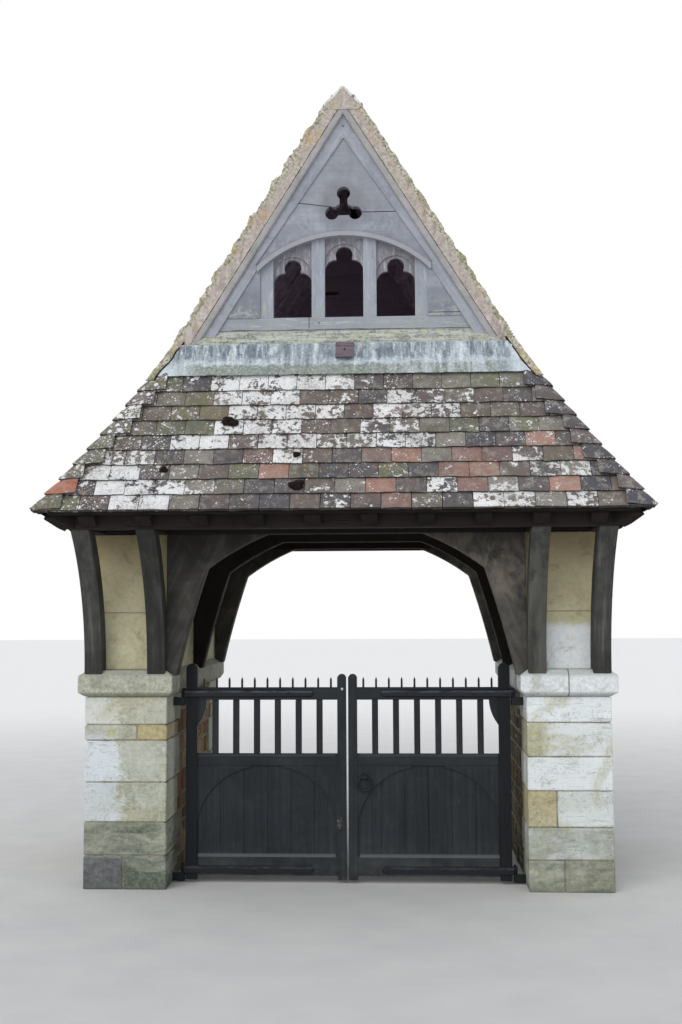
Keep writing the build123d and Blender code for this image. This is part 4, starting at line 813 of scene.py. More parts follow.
for end in ("front", "rear"):
    dress(f"brackets_{end}", "oak_bracket")
    dress(f"eaves_beam_{end}", "oak_eaves")
    dress(f"rafters_{end}", "oak_rafter_y")
    dress(f"gablet_sill_{end}", "silver_sill")
    dress(f"bargeboards_{end}", "silver_barge")
    dress(f"gablet_panel_{end}", "silver_panel")
    dress(f"gablet_tracery_{end}", "silver_tracery")
for place in ("front", "middle", "rear"):
    dress(f"knees_{place}", "oak_deep_knee" if place == "middle" else "oak_knee")
    dress(f"tie_beam_{place}", "oak_x")
for side in ("left", "right"):
    dress(f"string_course_{side}", "string")
    dress(f"upper_wall_{side}", f"upper_{side}")
    dress(f"wall_plates_{side}", "oak_y")
    dress(f"rafters_{side}", "oak_rafter_x")
    dress(f"gate_stiles_{side}", "paint_z")
    dress(f"gate_rails_{side}", "paint_x")
    dress(f"gate_bars_{side}", "paint_z")
    dress(f"gate_panel_{side}", "paint_z")
    dress(f"gate_spikes_{side}", "iron")
    dress(f"gate_straps_{side}", "iron")
dress("ridge_beam", "oak_y")
dress("hip_rafters", "oak_rafter_x")
dress("apron_block", "oak_block")
dress("gablet_backing_rear", "oak_inner")
dress("gate_pintles", "iron")
dress("latch_rose", "iron")
dress("latch_ring", "iron")

EDGES = {"brackets": 0.006, "knees": 0.007, "tie_beam": 0.006, "eaves_beam": 0.005,
         "wall_plates": 0.005, "rafters": 0.004, "hip_rafters": 0.004, "string_course": 0.006,
         "upper_wall": 0.006, "gate_stiles": 0.003, "gate_rails": 0.003, "gate_bars": 0.003,
         "apron_block": 0.004, "gate_spikes": 0.0015}
for name in nodes:
    for start, width in EDGES.items():
        if name.startswith(start):
            soften(name, width)


# Building pieces

class Shape:
    """Collects points and faces, with values for each face, and makes one piece."""

    def __init__(self):
        self.points, self.faces, self.rows = [], [], []

    def add(self, points, faces, **values):
        self.join(len(self.points), points, faces, **values)

    def join(self, first, points, faces, **values):
        """Adds points and faces to a form whose first point is known, inside the CAD box."""
        self.points += [(clamp(x, -EAVES_X, EAVES_X), clamp(y, -EAVES_Y, EAVES_Y), z)
                        for x, y, z in points]
        self.faces += [[first + index for index in face] for face in faces]
        self.rows += [values] * len(faces)

    def make(self, name, key, body, slot, replaces=(), smooth=None):
        mesh = bpy.data.meshes.new(name)
        mesh.from_pydata(self.points, [], self.faces)
        mesh.materials.append(materials[key])
        for field in sorted({field for row in self.rows for field in row}):
            layer = mesh.attributes.new(field, "FLOAT", "FACE")
            layer.data.foreach_set("value", [row.get(field, 0.0) for row in self.rows])
        work = bmesh.new()
        work.from_mesh(mesh)
        bmesh.ops.recalc_face_normals(work, faces=work.faces)
        work.to_mesh(mesh)
        work.free()
        if smooth:
            mesh.shade_smooth()
            mesh.set_sharp_from_angle(angle=math.radians(smooth))
        piece = bpy.data.objects.new(name, mesh)
        bpy.context.scene.collection.objects.link(piece)
        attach(piece, body)
        if replaces:
            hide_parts(*replaces)
        return piece


def grid_faces(columns, rows, closed=False):
    """Faces of a grid of points given row by row."""
    faces = []
    for j in range(rows - 1):
        for i in range(columns if closed else columns - 1):
            k = (i + 1) % columns
            faces.append((j * columns + i, j * columns + k, (j + 1) * columns + k, (j + 1) * columns + i))
    return faces


def sheet_faces(columns, rows):
    """Faces of a sheet: its top grid, the same grid below it turned over, and the edges."""
    base = columns * rows
    last = base - columns
    faces = grid_faces(columns, rows)
    faces += [[base + k for k in face][::-1] for face in faces]
    for i in range(columns - 1):
        faces.append((i, base + i, base + i + 1, i + 1))
        faces.append((last + i, last + i + 1, base + last + i + 1, base + last + i))
    for j in range(rows - 1):
        a, b = j * columns, (j + 1) * columns
        faces.append((a, b, base + b, base + a))
        faces.append((a + columns - 1, base + a + columns - 1, base + b + columns - 1, b + columns - 1))
    return faces


def roll_ends(rim, steps):
    """The two end faces of a roll that has a rim of points at each step."""
    return [list(range(rim))[::-1], [steps * rim + i for i in range(rim)]]


def rough(point, size, amount, seed=0.0):
    """A repeatable offset that varies smoothly in space."""
    where = Vector(point) / size + Vector((seed, seed * 1.7, -seed))
    return noise.noise_vector(where) * amount


# Roof geometry

class Slope:
    """A roof slope with a swept foot, measured up the tiles from the eaves."""

    def __init__(self, tip, angle):
        self.angle = angle
        chord = angle - SWEEP / 2
        drop = SWEEP_TOP - EAVES
        self.radius = drop / math.sin(chord) / (2 * math.sin(SWEEP / 2))
        start = tip - drop / math.tan(chord)
        self.centre = (start + self.radius * math.sin(angle), SWEEP_TOP + self.radius * math.cos(angle))
        self.arc = self.radius * SWEEP

    def section(self, along, lift):
        """Distance out and height of a point so far up the tiles and off them."""
        turn = self.angle - SWEEP + min(along, self.arc) / self.radius
        reach = self.radius - lift
        past = max(0.0, along - self.arc)
        return (self.centre[0] - reach * math.sin(turn) - past * math.cos(self.angle),
                self.centre[1] - reach * math.cos(turn) + past * math.sin(self.angle))

    def along_at(self, height):
        """How far up the tiles a height is reached."""
        if height > SWEEP_TOP:
            return self.arc + (height - SWEEP_TOP) / math.sin(self.angle)
        turn = math.acos(clamp((self.centre[1] - height) / self.radius, -1.0, 1.0))
        return (turn - self.angle + SWEEP) * self.radius

    def out_at(self, height):
        return self.section(self.along_at(height), 0.0)[0]


side_slope = Slope(EAVES_X, SIDE_ANGLE)
hip_slope = Slope(EAVES_Y, HIP_ANGLE)
HIP_TOP = SWEEP_TOP + (hip_slope.out_at(SWEEP_TOP) - FRONT) * math.tan(HIP_ANGLE)
RIDGE_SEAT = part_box("ridge_tiles")[1][2] - 0.020 * math.sqrt(2)

FACES = {"left": (side_slope, -1, True), "right": (side_slope, 1, True),
         "front": (hip_slope, -1, False), "rear": (hip_slope, 1, False)}


def on_roof(face, across, along, lift):
    """The point on one of the four slopes."""
    slope, sign, is_side = FACES[face]
    out, height = slope.section(along, lift)
    out = min(out, EAVES_X if is_side else EAVES_Y)
    return Vector((sign * out, across, height)) if is_side else Vector((across, sign * out, height))


def half_width(face, along):
    """How far a slope reaches to each side of its middle at a distance up the tiles."""
    slope, _, is_side = FACES[face]
    height = slope.section(along, 0.0)[1]
    if is_side:
        return FRONT if height >= HIP_TOP else hip_slope.out_at(height)
    return side_slope.out_at(height)


TILE_WIDTH = 0.165
TILE_THICK = 0.012
TILE_LENGTH = 0.215
TILE_SEAT = -0.0022
DOUBLED_LENGTH = 0.14
BOARD_WIDTH = 0.16
BOARD_LIFTS = (-0.048, -0.073)
COURSES = 9
HIP_GAUGE = hip_slope.arc / COURSES
SIDE_GAUGE = side_slope.arc / COURSES
UPPER_GAUGE = 0.102

# Distinct tiles on the front hip, as (across in metres, course from the eaves), with the warmth in
# WARM, and with the reach to each side and the amount of pale lichen in PALE
WARM = ((1.11, 4, 0.62), (1.26, 1, 0.66), (0.22, 1, 0.55), (0.37, 3, 0.60),
        (-0.39, 2, 0.58), (0.60, 2, 0.50), (0.76, 2, 0.52), (0.70, 1, 0.38), (0.67, 3, 0.36),
        (0.27, 0, 0.34), (-0.66, 6, 0.42), (0.01, 6, 0.30), (-0.45, 3, 0.28), (0.12, 3, 0.26),
        (1.30, 3, 0.50), (0.92, 3, 0.22), (0.30, 6, 0.34))
DARK = ((-0.10, 2), (0.08, 2), (0.43, 2), (1.10, 2), (1.08, 1), (1.34, 3), (1.28, 5), (0.99, 4),
        (0.72, 4), (0.52, 4), (0.20, 4), (0.02, 3), (-0.30, 7), (0.60, 0), (1.45, 1))
OLIVE = ((-1.12, 8), (-0.95, 8), (-0.82, 7), (-0.90, 6), (-0.74, 6), (-1.02, 5), (-0.86, 5),
         (-0.47, 2), (0.35, 2), (-1.50, 0), (0.62, 5), (0.95, 5), (0.80, 8))
PALE = ((-1.30, 2, 0.16, 1.0), (-1.20, 1, 0.22, 1.0), (-1.02, 1, 0.12, 0.9), (-1.10, 0, 0.10, 1.0),
        (-0.80, 4, 0.10, 1.0), (-1.15, 3, 0.18, 0.7), (-0.45, 5, 0.24, 1.0), (-0.45, 6, 0.20, 1.0),
        (-0.50, 8, 0.26, 1.0), (-0.15, 8, 0.28, 1.0), (-0.45, 7, 0.24, 0.8), (-0.15, 6, 0.20, 0.8),
        (-0.25, 4, 0.26, 0.9), (-0.30, 3, 0.12, 0.9), (0.05, 4, 0.16, 0.7), (0.30, 4, 0.14, 0.8),
        (0.90, 0, 0.12, 1.0), (1.02, 0, 0.10, 0.9), (1.34, 0, 0.12, 0.8), (0.49, 1, 0.10, 0.8),
        (1.19, 2, 0.14, 0.8), (0.32, 6, 0.16, 0.9), (0.50, 6, 0.12, 0.8), (0.22, 5, 0.18, 0.7),
        (0.40, 7, 0.20, 0.6), (-0.75, 1, 0.10, 0.6), (-0.88, 2, 0.12, 0.5), (1.05, 3, 0.10, 0.8),
        (0.85, 1, 0.08, 0.7), (-0.05, 0, 0.10, 0.5), (-0.60, 4, 0.08, 0.4), (0.66, 7, 0.10, 0.5))


def tile_values(face, across, course, spot):
    """Tone, warmth and growth of one tile."""
    values = {"tone": chance.uniform(0.12, 0.92), "warm": 0.0, "moss": chance.uniform(0.0, 0.25),
              "pale": clamp(chance.gauss(0.16, 0.16), 0.0, 0.5), "dots": chance.uniform(0.0, 0.45)}
    patch = noise.noise(spot * 1.7 + Vector((3.1, 0.4, 7.7)))
    values["pale"] += clamp(patch * 0.9, 0.0, 0.5)
    if chance.random() < 0.10:
        values["warm"] = chance.uniform(0.2, 0.65)
    if chance.random() < 0.08:
        values["pale"] = chance.uniform(0.7, 1.0)
    if noise.noise(spot * 1.3 + Vector((9.0, 2.0, 1.0))) > 0.22:
        values["moss"] = chance.uniform(0.3, 0.6)
    if face != "front":
        return values
    values["warm"] = 0.0
    values["moss"] = chance.uniform(0.0, 0.3)
    values["pale"] = clamp(chance.gauss(0.14, 0.14), 0.0, 0.4)
    crowd = clamp((-0.62 - across) / 0.5, 0.0, 1.0) * clamp(1.15 - course * 0.08, 0.0, 1.0)
    values["dots"] = max(values["dots"], crowd * 0.95)
    for x, row, level in WARM:
        if row == course and abs(across - x) < TILE_WIDTH / 2:
            values["warm"] = level
    for x, row in DARK:
        if row == course and abs(across - x) < TILE_WIDTH / 2:
            values["tone"] = chance.uniform(0.05, 0.22)
    for x, row in OLIVE:
        if row == course and abs(across - x) < TILE_WIDTH / 2:
            values["moss"] = chance.uniform(0.6, 0.85)
    for x, row, width, level in PALE:
        if row == course and abs(across - x) < width:
            values["pale"] = level * chance.uniform(0.85, 1.0)
    return values


def add_tile(shape, face, left, right, tail, length, lift, edge, values):
    """One tile: cambered, thin, resting on the course below, and cut where the slope ends."""
    middle = (left + right) / 2
    twist = chance.uniform(-0.0022, 0.0022)
    raise_by = chance.uniform(-0.0008, 0.0014)
    skew = chance.uniform(-0.0035, 0.0035)
    ragged = [chance.uniform(-0.0022, 0.0022) for _ in range(7)]
    if chance.random() < 0.16:
        ragged[chance.choice((0, 6))] += chance.uniform(0.004, 0.014)
    rise = (TILE_THICK + 0.0006) / HIP_GAUGE
    round_off = 0.0022
    columns = [left, left + round_off, left + (right - left) * 0.27, middle,
               left + (right - left) * 0.73, right - round_off, right]
    rows = [0.0, round_off, length * 0.35, length]
    top, base = [], []
    for j, step in enumerate(rows):
        for i, across in enumerate(columns):
            along = tail + step + skew * (across - middle) / (right - left) * 2
            along += ragged[i] * (1 - step / length)
            bound = half_width(face, clamp(along, 0.0, 99.0)) - edge
            where = clamp(across, -bound, bound)
            off = (across - middle) / (right - left) * 2
            height = lift + raise_by - rise * step + twist * off - 0.0018 * off * off
            worn = 0.0016 if i in (0, 6) or j == 0 else 0.0
            height -= worn
            along = max(along, 0.0)
            top.append(on_roof(face, where, along, height))
            base.append(on_roof(face, where, along, height - TILE_THICK + worn))
    count = len(columns)
    faces = grid_faces(count, len(rows))
    ring = ([i for i in range(count)] + [j * count + count - 1 for j in range(1, len(rows))]
            + [(len(rows) - 1) * count + i for i in range(count - 2, -1, -1)]
            + [j * count for j in range(len(rows) - 2, 0, -1)])
    under = [base[index] for index in ring]
    size = len(ring)
    shape.add(top, faces, **values)
    first = len(shape.points) - len(top)
    below = len(top)
    sides = [(ring[k], below + k, below + (k + 1) % size, ring[(k + 1) % size]) for k in range(size)]
    sides.append([below + k for k in range(size)][::-1])
    # The edge value marks these faces for painted shade in the tile material
    shape.join(first, under, sides, edge=1.0, **values)


def tile_face(name, face, tails, edge, replaces, top_limit):
    """All tiles of a slope, with an eaves course doubled by shorter tiles below it."""
    shape = Shape()
    for course, tail in enumerate(tails):
        half = half_width(face, tail) - edge
        shift = (course % 2) * TILE_WIDTH / 2 + chance.uniform(-0.012, 0.012)
        left = -half
        right = -half + TILE_WIDTH * (0.45 + 0.55 * ((half + shift) / TILE_WIDTH % 1.0))
        while left < half - 0.005:
            if right > half - 0.05:
                right = half
            gap = chance.uniform(0.001, 0.0022)
            lo = left + (gap if left > -half else 0.0)
            hi = right - (gap if right < half else 0.0)
            spot = on_roof(face, (lo + hi) / 2, tail, 0.0)
            values = tile_values(face, (lo + hi) / 2, course, spot)
            length = min(TILE_LENGTH, top_limit - tail)
            add_tile(shape, face, lo, hi, tail, length, TILE_SEAT, edge, values)
            if course == 0:
                under = dict(values, pale=0.0, warm=0.0, tone=0.3)
                add_tile(shape, face, lo, hi, tail + 0.002, DOUBLED_LENGTH, TILE_SEAT - TILE_THICK - 0.001,
                         edge, under)
            left, right = right, right + TILE_WIDTH + chance.uniform(-0.002, 0.002)
    return shape.make(name, "tiles", "structure", "clay_tiles", replaces, smooth=40)


hip_tails = [HIP_GAUGE * course for course in range(COURSES)]
side_tails = [SIDE_GAUGE * course for course in range(COURSES)]
side_top = side_slope.along_at(RIDGE_SEAT - 0.096)
level = side_slope.arc
while level < side_top - 0.02:
    side_tails.append(level)
    level += UPPER_GAUGE
apron_top = hip_slope.along_at(HIP_TOP)
for end in ("front", "rear"):
    tile_face(f"hip_tiles_{end}", end, hip_tails, 0.012, (f"roof_hip_{end}",), apron_top)
for side in ("left", "right"):
    tile_face(f"slope_tiles_{side}", side, side_tails, 0.014, (f"roof_slope_{side}",), side_top + 0.03)


# Boards and battens under the tiles, seen from below and at the eaves

def roof_boards(name, face, key, start, stop, edge):
    """Sawn boards laid along the slope, with open joints, on the underside of the roof."""
    shape = Shape()
    low = start
    while low < stop - 0.02:
        high = min(low + BOARD_WIDTH, stop)
        points = []
        pieces = 15
        for lift in BOARD_LIFTS:
            for along in (low + 0.0015, high - 0.0015):
                for k in range(pieces + 1):
                    bound = half_width(face, along) - edge(along)
                    across = -bound + 2 * bound * k / pieces
                    points.append(on_roof(face, across, along, lift + chance.uniform(-0.0004, 0.0004)))
        n = pieces + 1
        faces = []
        for k in range(pieces):
            faces.append((k, k + 1, n + k + 1, n + k))
            faces.append((2 * n + k, 3 * n + k, 3 * n + k + 1, 2 * n + k + 1))
            faces.append((k, 2 * n + k, 2 * n + k + 1, k + 1))
            faces.append((n + k, n + k + 1, 3 * n + k + 1, 3 * n + k))
        faces.append((0, n, 3 * n, 2 * n))
        faces.append((n - 1, 3 * n - 1, 4 * n - 1, 2 * n - 1))
        shape.add(points, faces)
        low = high
    return shape.make(name, key, "structure", "dark_oak")


for end in ("front", "rear"):
    roof_boards(f"hip_boards_{end}", end, "oak_boards_x", 0.012, apron_top - 0.02,
                lambda along: 0.075)
for side in ("left", "right"):
    roof_boards(f"slope_boards_{side}", side, "oak_boards", 0.012, side_top + 0.04,
                lambda along: 0.075 if along < side_slope.along_at(HIP_TOP) else 0.055)


# Bonnet tiles down the hips, on mortar

def hip_point(sign_x, sign_y, height, s, wing, lift, sag, tail):
    """A point of a bonnet: s runs from -1 on the hip face through 0 at the arris to 1.

    Its side edges run straight up the slopes, so the wings narrow away from the tail."""
    height -= sag * (1 - s * s)
    x = side_slope.out_at(clamp(height, EAVES, SWEEP_TOP + 0.3))
    y = hip_slope.out_at(clamp(height, EAVES, SWEEP_TOP + 0.3))
    gone = side_slope.out_at(tail) - x if s < 0 else hip_slope.out_at(tail) - y
    reach = abs(s) * clamp(wing - gone, 0.03, wing)
    ease_in = (1 - abs(s)) ** 2
    blunt = 0.026 * ease_in
    if s < 0:
        x -= reach
    else:
        y -= reach
    rise = lift * (1.0 - 0.35 * abs(s) ** 3)
    x += -blunt + rise * (0.62 if s < 0 else 1.0) * (1 if s > 0 else ease_in)
    y += -blunt + rise * (0.62 if s > 0 else 1.0) * (1 if s < 0 else ease_in)
    z = height + rise * 0.35
    return Vector((sign_x * min(x, EAVES_X), sign_y * min(y, EAVES_Y), z))


# Range of each value of a bonnet on the grown left hips and on the barer right ones
BONNET_RANGES = (("tone", (0.3, 0.8), (0.05, 0.35)), ("moss", (0.3, 0.6), (0, 0.2)),
                 ("pale", (0.1, 0.6), (0.0, 0.45)), ("dots", (0.6, 0.95), (0.1, 0.6)))


def bonnets():
    """Curved hip tiles, each on its own bed of mortar."""
    tiles, bed = Shape(), Shape()
    span = [-1 + 2 * k / 14 for k in range(15)]
    for sign_x in (-1, 1):
        for sign_y in (-1, 1):
            for course in range(COURSES):
                low = hip_slope.section(HIP_GAUGE * course, 0.0)[1]
                high = hip_slope.section(min(HIP_GAUGE * (course + 1.9), hip_slope.arc + 0.05), 0.0)[1]
                wing = 0.150 + chance.uniform(-0.022, 0.022)
                sag = 0.012 + chance.uniform(-0.003, 0.004)
                grown = sign_x < 0
                values = {"warm": 0.0}
                for key, grown_range, bare_range in BONNET_RANGES:
                    values[key] = chance.uniform(*(grown_range if grown else bare_range))
                if grown and sign_y < 0 and course == 1:
                    values.update(warm=0.86, moss=0.0, pale=0.0, dots=0.1)
                    wing = 0.172
                low += sag * 0.5
                tail = low
                rows = ((low, 0.0235), (low + 0.003, 0.0260), (low * 0.65 + high * 0.35, 0.019),
                        ((low + high) / 2, 0.013), (high, 0.002))
                count = len(span)
                outer = [hip_point(sign_x, sign_y, h, s, wing, lift, sag, tail)
                         + rough((sign_x * 9 + h * 9, s * 3, course), 1.0, 0.0022)
                         for h, lift in rows for s in span]
                inner = [hip_point(sign_x, sign_y, h, s, wing, lift - 0.012, sag, tail)
                         for h, lift in rows for s in span]
                faces = sheet_faces(count, len(rows))
                shown = (count - 1) * (len(rows) - 1)
                tiles.add(outer, faces[:shown], **values)
                # The edge value marks the under and edge faces for painted shade in the tile material
                tiles.join(len(tiles.points) - len(outer), inner, faces[shown:], edge=1.0, **values)
                points = []
                for h, lift in ((low + 0.010, 0.011), ((low + high) / 2, 0.004)):
                    for s in span:
                        points.append(hip_point(sign_x, sign_y, h, s, wing - 0.006, lift, sag, tail)
                                      + rough((sign_x + h * 40, s * 8, sign_y), 1.0, 0.002))
                for h, lift in ((low + 0.010, -0.016), ((low + high) / 2, -0.02)):
                    for s in span:
                        points.append(hip_point(sign_x, sign_y, h, s, wing - 0.006, lift, sag, tail))
                bed.add(points, sheet_faces(count, 2))
    tiles.make("bonnet_tiles", "tiles", "structure", "clay_tiles", ("hip_bonnets",), smooth=50)
    bed.make("bonnet_mortar", "moss", "structure", "clay_tiles", smooth=50)


bonnets()


# Ridge tiles, bedded on mortar

def ridge():
    """Seven angle tiles along the ridge on one bed of mortar."""
    tiles, bed = Shape(), Shape()
    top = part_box("ridge_tiles")[1][2]
    count = 7
    length = 2 * FRONT / count
    wing = RIDGE_WING
    thick = 0.018
    profile = [(-wing, -wing), (-wing * 0.5, -wing * 0.5), (-0.012, -0.010), (0, -0.005), (0.012, -0.010),
               (wing * 0.5, -wing * 0.5), (wing, -wing)]
    under = [(x * (1 - thick * 0.7 / wing), z - thick * 0.72 if abs(x) < wing * 0.9 else z - thick * 0.1)
             for x, z in profile]
    for index in range(count):
        start = -FRONT + length * index + 0.003
        stop = start + length - 0.006
        drop = chance.uniform(0.0, 0.004)
        lean = chance.uniform(-0.002, 0.002)
        rows = [start, start + 0.002, (start + stop) / 2, stop - 0.002, stop]
        outer, inner = [], []
        for j, y in enumerate(rows):
            shrink = 0.0015 if j in (0, len(rows) - 1) else 0.0
            for (x, z), (ux, uz) in zip(profile, under):
                outer.append(Vector((x + lean, y, top + z - drop - shrink)))
                inner.append(Vector((ux + lean, y, top + uz - drop - 0.002)))
        tiles.add(outer + inner, sheet_faces(len(profile), len(rows)), tone=chance.uniform(0.5, 0.9),
                  warm=chance.choice((0.0, 0.2, 0.3)), pale=chance.uniform(0.5, 0.9),
                  moss=chance.uniform(0.0, 0.2))
    steps = 60
    side = [(-wing + 0.006, -wing - 0.012), (-wing * 0.8, -wing * 0.8 - 0.006), (-0.06, -0.076)]
    around = side + [(0, -0.022)] + [(-x, z) for x, z in reversed(side)]
    around += [(wing * 0.75, -wing - 0.030), (0, -0.150), (-wing * 0.75, -wing - 0.030)]
    points = []
    for k in range(steps + 1):
        y = -FRONT + 0.004 + (2 * FRONT - 0.008) * k / steps
        for x, z in around:
            points.append(Vector((x, y, top + z)) + rough((x * 3, y, z), 0.05, 0.004))
            points[-1].y = clamp(points[-1].y, -FRONT, FRONT)
    n = len(around)
    bed.add(points, grid_faces(n, steps + 1, closed=True) + roll_ends(n, steps))
    tiles.make("ridge_course", "tiles", "structure", "clay_tiles", ("ridge_tiles",), smooth=35)
    bed.make("ridge_mortar", "verge", "structure", "clay_tiles", smooth=60)


ridge()


# Verges: tile ends bedded in mortar, grown over with moss and lichen

# How many faces up from the lower rim of a verge stay bare mortar
BARE_EDGE = 4


def verges():
    """A thick uneven roll of moss over the tile ends, with small cushions on it."""
    bed, clumps = Shape(), Shape()
    low = side_slope.along_at(HIP_TOP) - 0.02
    high = side_slope.along_at(RIDGE_SEAT - 0.03)
    steps = 330
    front_lifts = (-0.074, -0.062, -0.050, -0.038, -0.026, -0.014, -0.003)
    top_acrosses = (0.006, 0.018, 0.032, 0.048, 0.064)
    rim = [(FRONT - 0.003, lift, 0.25 if lift < -0.03 else 0.8) for lift in front_lifts]
    rim += [(FRONT - across, 0.004, 1.0 - across / 0.085) for across in top_acrosses]
    rim += [(FRONT - 0.072, -0.008, 0.0), (FRONT - 0.060, -0.030, 0.0), (FRONT - 0.056, -0.074, 0.0)]
    for face in ("left", "right"):
        for end in (-1, 1):
            grown = 1.0 if face == "left" else 0.55
            points = []
            for k in range(steps + 1):
                along = low + (high - low) * k / steps
                share = k / steps
                fade = math.sin(math.pi * clamp(share * 1.02, 0, 1)) ** 0.35
                swell = (0.018 + 0.020 * (1 - share)) * grown * fade
                for across, lift, swollen in rim:
                    spot = on_roof(face, end * across, along, lift)
                    seed = Vector((0, 7.3 * end, 0))
                    lump = (0.55 + noise.noise(spot * 13.0 + seed) + 0.55 * noise.noise(spot * 31.0 + seed)
                            + 0.3 * noise.noise(spot * 75.0 + seed))
                    rise = swollen * swell * clamp(lump, 0.0, 2.0)
                    spot = on_roof(face, end * across, along, lift + (rise if lift > -0.03 else 0.0))
                    hollow = noise.noise(spot * 24.0) * 0.006 + noise.noise(spot * 70.0) * 0.003
                    spot.y -= end * clamp(0.006 - hollow, 0.0, 0.02) * (1.0 if across > FRONT - 0.02 else 0.0)
                    spot.y = end * min(abs(spot.y), FRONT)
                    points.append(spot)
            n = len(rim)
            faces = list(enumerate(grid_faces(n, steps + 1, closed=True)))
            bare = [quad for index, quad in faces if index % n < BARE_EDGE] + roll_ends(n, steps)
            bed.add(points, bare, moss=0.0)
            bed.join(len(bed.points) - len(points), [],
                     [quad for index, quad in faces if index % n >= BARE_EDGE], moss=1.0)
            for _ in range(150):
                along = chance.uniform(low + 0.05, high - 0.03)
                size = chance.uniform(0.004, 0.011)
                centre = on_roof(face, end * (FRONT - chance.uniform(0.010, 0.07)), along,
                                 chance.uniform(0.0, 0.012) * grown)
                add_clump(clumps, centre, size)
    bed.make("verge_mortar", "verge", "structure", "clay_tiles", smooth=70)
    clumps.make("verge_moss", "verge", "structure", "clay_tiles", smooth=80)


def add_clump(shape, centre, size, flat=0.55):
    """A low rounded cushion of moss."""
    rings, sides = 4, 7
    points = [centre + Vector((0, 0, size * flat))]
    for j in range(1, rings):
        polar = math.pi * j / rings
        for i in range(sides):
            turn = 2 * math.pi * i / sides
            spot = Vector((math.sin(polar) * math.cos(turn), math.sin(polar) * math.sin(turn),
                           math.cos(polar) * flat)) * size
            points.append(centre + spot * (1 + chance.uniform(-0.25, 0.2)))
    points.append(centre - Vector((0, 0, size * flat)))
    faces = [(0, 1 + i, 1 + (i + 1) % sides) for i in range(sides)]
    for j in range(rings - 2):
        for i in range(sides):
            a, b = 1 + j * sides + i, 1 + j * sides + (i + 1) % sides
            faces.append((a, a + sides, b + sides, b))
    last = len(points) - 1
    base = 1 + (rings - 2) * sides
    faces += [(last, base + (i + 1) % sides, base + i) for i in range(sides)]
    shape.add(points, faces, moss=1.0)


verges()


def tile_moss():
    """Dark cushions of old moss lying on the front tiles."""
    clumps = Shape()
    for across, along, size in ((-0.63, 5.8, 0.050), (-0.24, 3.5, 0.027), (-0.98, 2.6, 0.029),
                                (-0.23, 1.5, 0.052)):
        centre = on_roof("front", across, along * 0.1022, 0.002)
        for _ in range(10):
            spread = size * 0.5
            offset = Vector((chance.uniform(-1, 1) * spread * 1.2, 0,
                             chance.uniform(-1, 1) * spread * 0.6))
            spot = centre + offset + Vector((0, -0.004, 0))
            add_clump(clumps, spot, size * chance.uniform(0.35, 0.55), 0.7)
    return clumps


# Dark moss for the cushions on the tiles, also used for the painted shadow strip beside the apron moss
def dark_moss_and_shadow():
    net = Net("dark_moss_and_shadow", specular=0.1)
    fine = net.noise(net.place, 190.0, 6.0, 0.7)
    colour = net.ramp(fine, (0.3, 26, 20, 20), (0.6, 52, 42, 38), (0.8, 84, 74, 58))
    return net.finish(colour, 0.98, fine, 0.006)


materials["dark_moss_and_shadow"] = dark_moss_and_shadow()
tile_moss().make("tile_moss", "dark_moss_and_shadow", "structure", "clay_tiles", smooth=80)


# Lead apron, dressed a little unevenly over the head of each hip

def apron(end):
    """One sheet with ragged foot, dents and waves, in place of the plain solid."""
    shape = Shape()
    sign = -1 if end == "front" else 1
    columns, rows = 120, 10
    low, high = hip_slope.arc, hip_slope.along_at(HIP_TOP)
    outer, inner = [], []
    for j in range(rows + 1):
        for i in range(columns + 1):
            share = -1 + 2 * i / columns
            ragged = noise.noise(Vector((share * 14, sign * 3, 0))) * 0.008 * (1 - j / rows)
            along = low + 0.001 + max(0.0, ragged) + (high - low) * j / rows
            along = min(along, high)
            height = hip_slope.section(along, 0.0)[1]
            across = share * (side_slope.out_at(height) - 0.002)
            dent = noise.noise(Vector((across * 6, along * 9, sign))) * 0.0016
            wave = noise.noise(Vector((across * 22, along * 3, sign + 5))) * 0.0010
            outer.append(on_roof(end, across, along, 0.0042 + dent + wave))
            inner.append(on_roof(end, across, along, 0.0006 + dent))
    shape.add(outer + inner, sheet_faces(columns + 1, rows + 1))
    shape.make(f"apron_sheet_{end}", "lead", "structure", "lead", (f"lead_apron_{end}",), smooth=60)


apron("front")
apron("rear")


def apron_ends():
    """Moss grown along the hips over both ends of each apron, with a dark strip beside it as painted shadow.
    """
    # The gap shape is a dark strip that stands in for the shadow beside the moss
    roll, gap = Shape(), Shape()
    low, high = hip_slope.arc - 0.030, hip_slope.along_at(HIP_TOP) + 0.030
    steps = 70
    for end in ("front", "rear"):
        for side in (-1, 1):
            for shape, rim in ((roll, ((0.001, 0.0), (0.003, 0.8), (0.012, 1.0), (0.024, 1.0), (0.036, 0.8),
                                       (0.044, 0.4), (0.047, 0.0))),
                               (gap, ((0.030, 0.0), (0.032, 0.35), (0.054, 0.30), (0.056, 0.0)))):
                points = []
                for k in range(steps + 1):
                    along = low + (high - low) * k / steps
                    height = hip_slope.section(along, 0.0)[1]
                    bound = side_slope.out_at(height)
                    for inward, swollen in rim:
                        spot = on_roof(end, side * (bound - inward), along, 0.0)
                        lump = 0.6 + noise.noise(spot * 18.0) + 0.5 * noise.noise(spot * 47.0)
                        sway = noise.noise(spot * 14.0 + Vector((4, 4, 4))) * 0.012 if inward > 0.02 else 0.0
                        rise = 0.0005 + swollen * (0.010 + 0.012 * clamp(lump, 0.0, 1.8))
                        points.append(on_roof(end, side * (bound - inward + sway), along, rise))
                n = len(rim)
                faces = grid_faces(n, steps + 1)
                faces += [[j * n, (j + 1) * n, (j + 2) * n - 1, (j + 1) * n - 1] for j in range(steps)]
                shape.add(points, faces + roll_ends(n, steps), moss=0.55)
    roll.make("apron_moss", "verge", "structure", "clay_tiles", smooth=70)
    gap.make("apron_shadow_strip", "dark_moss_and_shadow", "structure", "clay_tiles", smooth=70)


apron_ends()


# Masonry

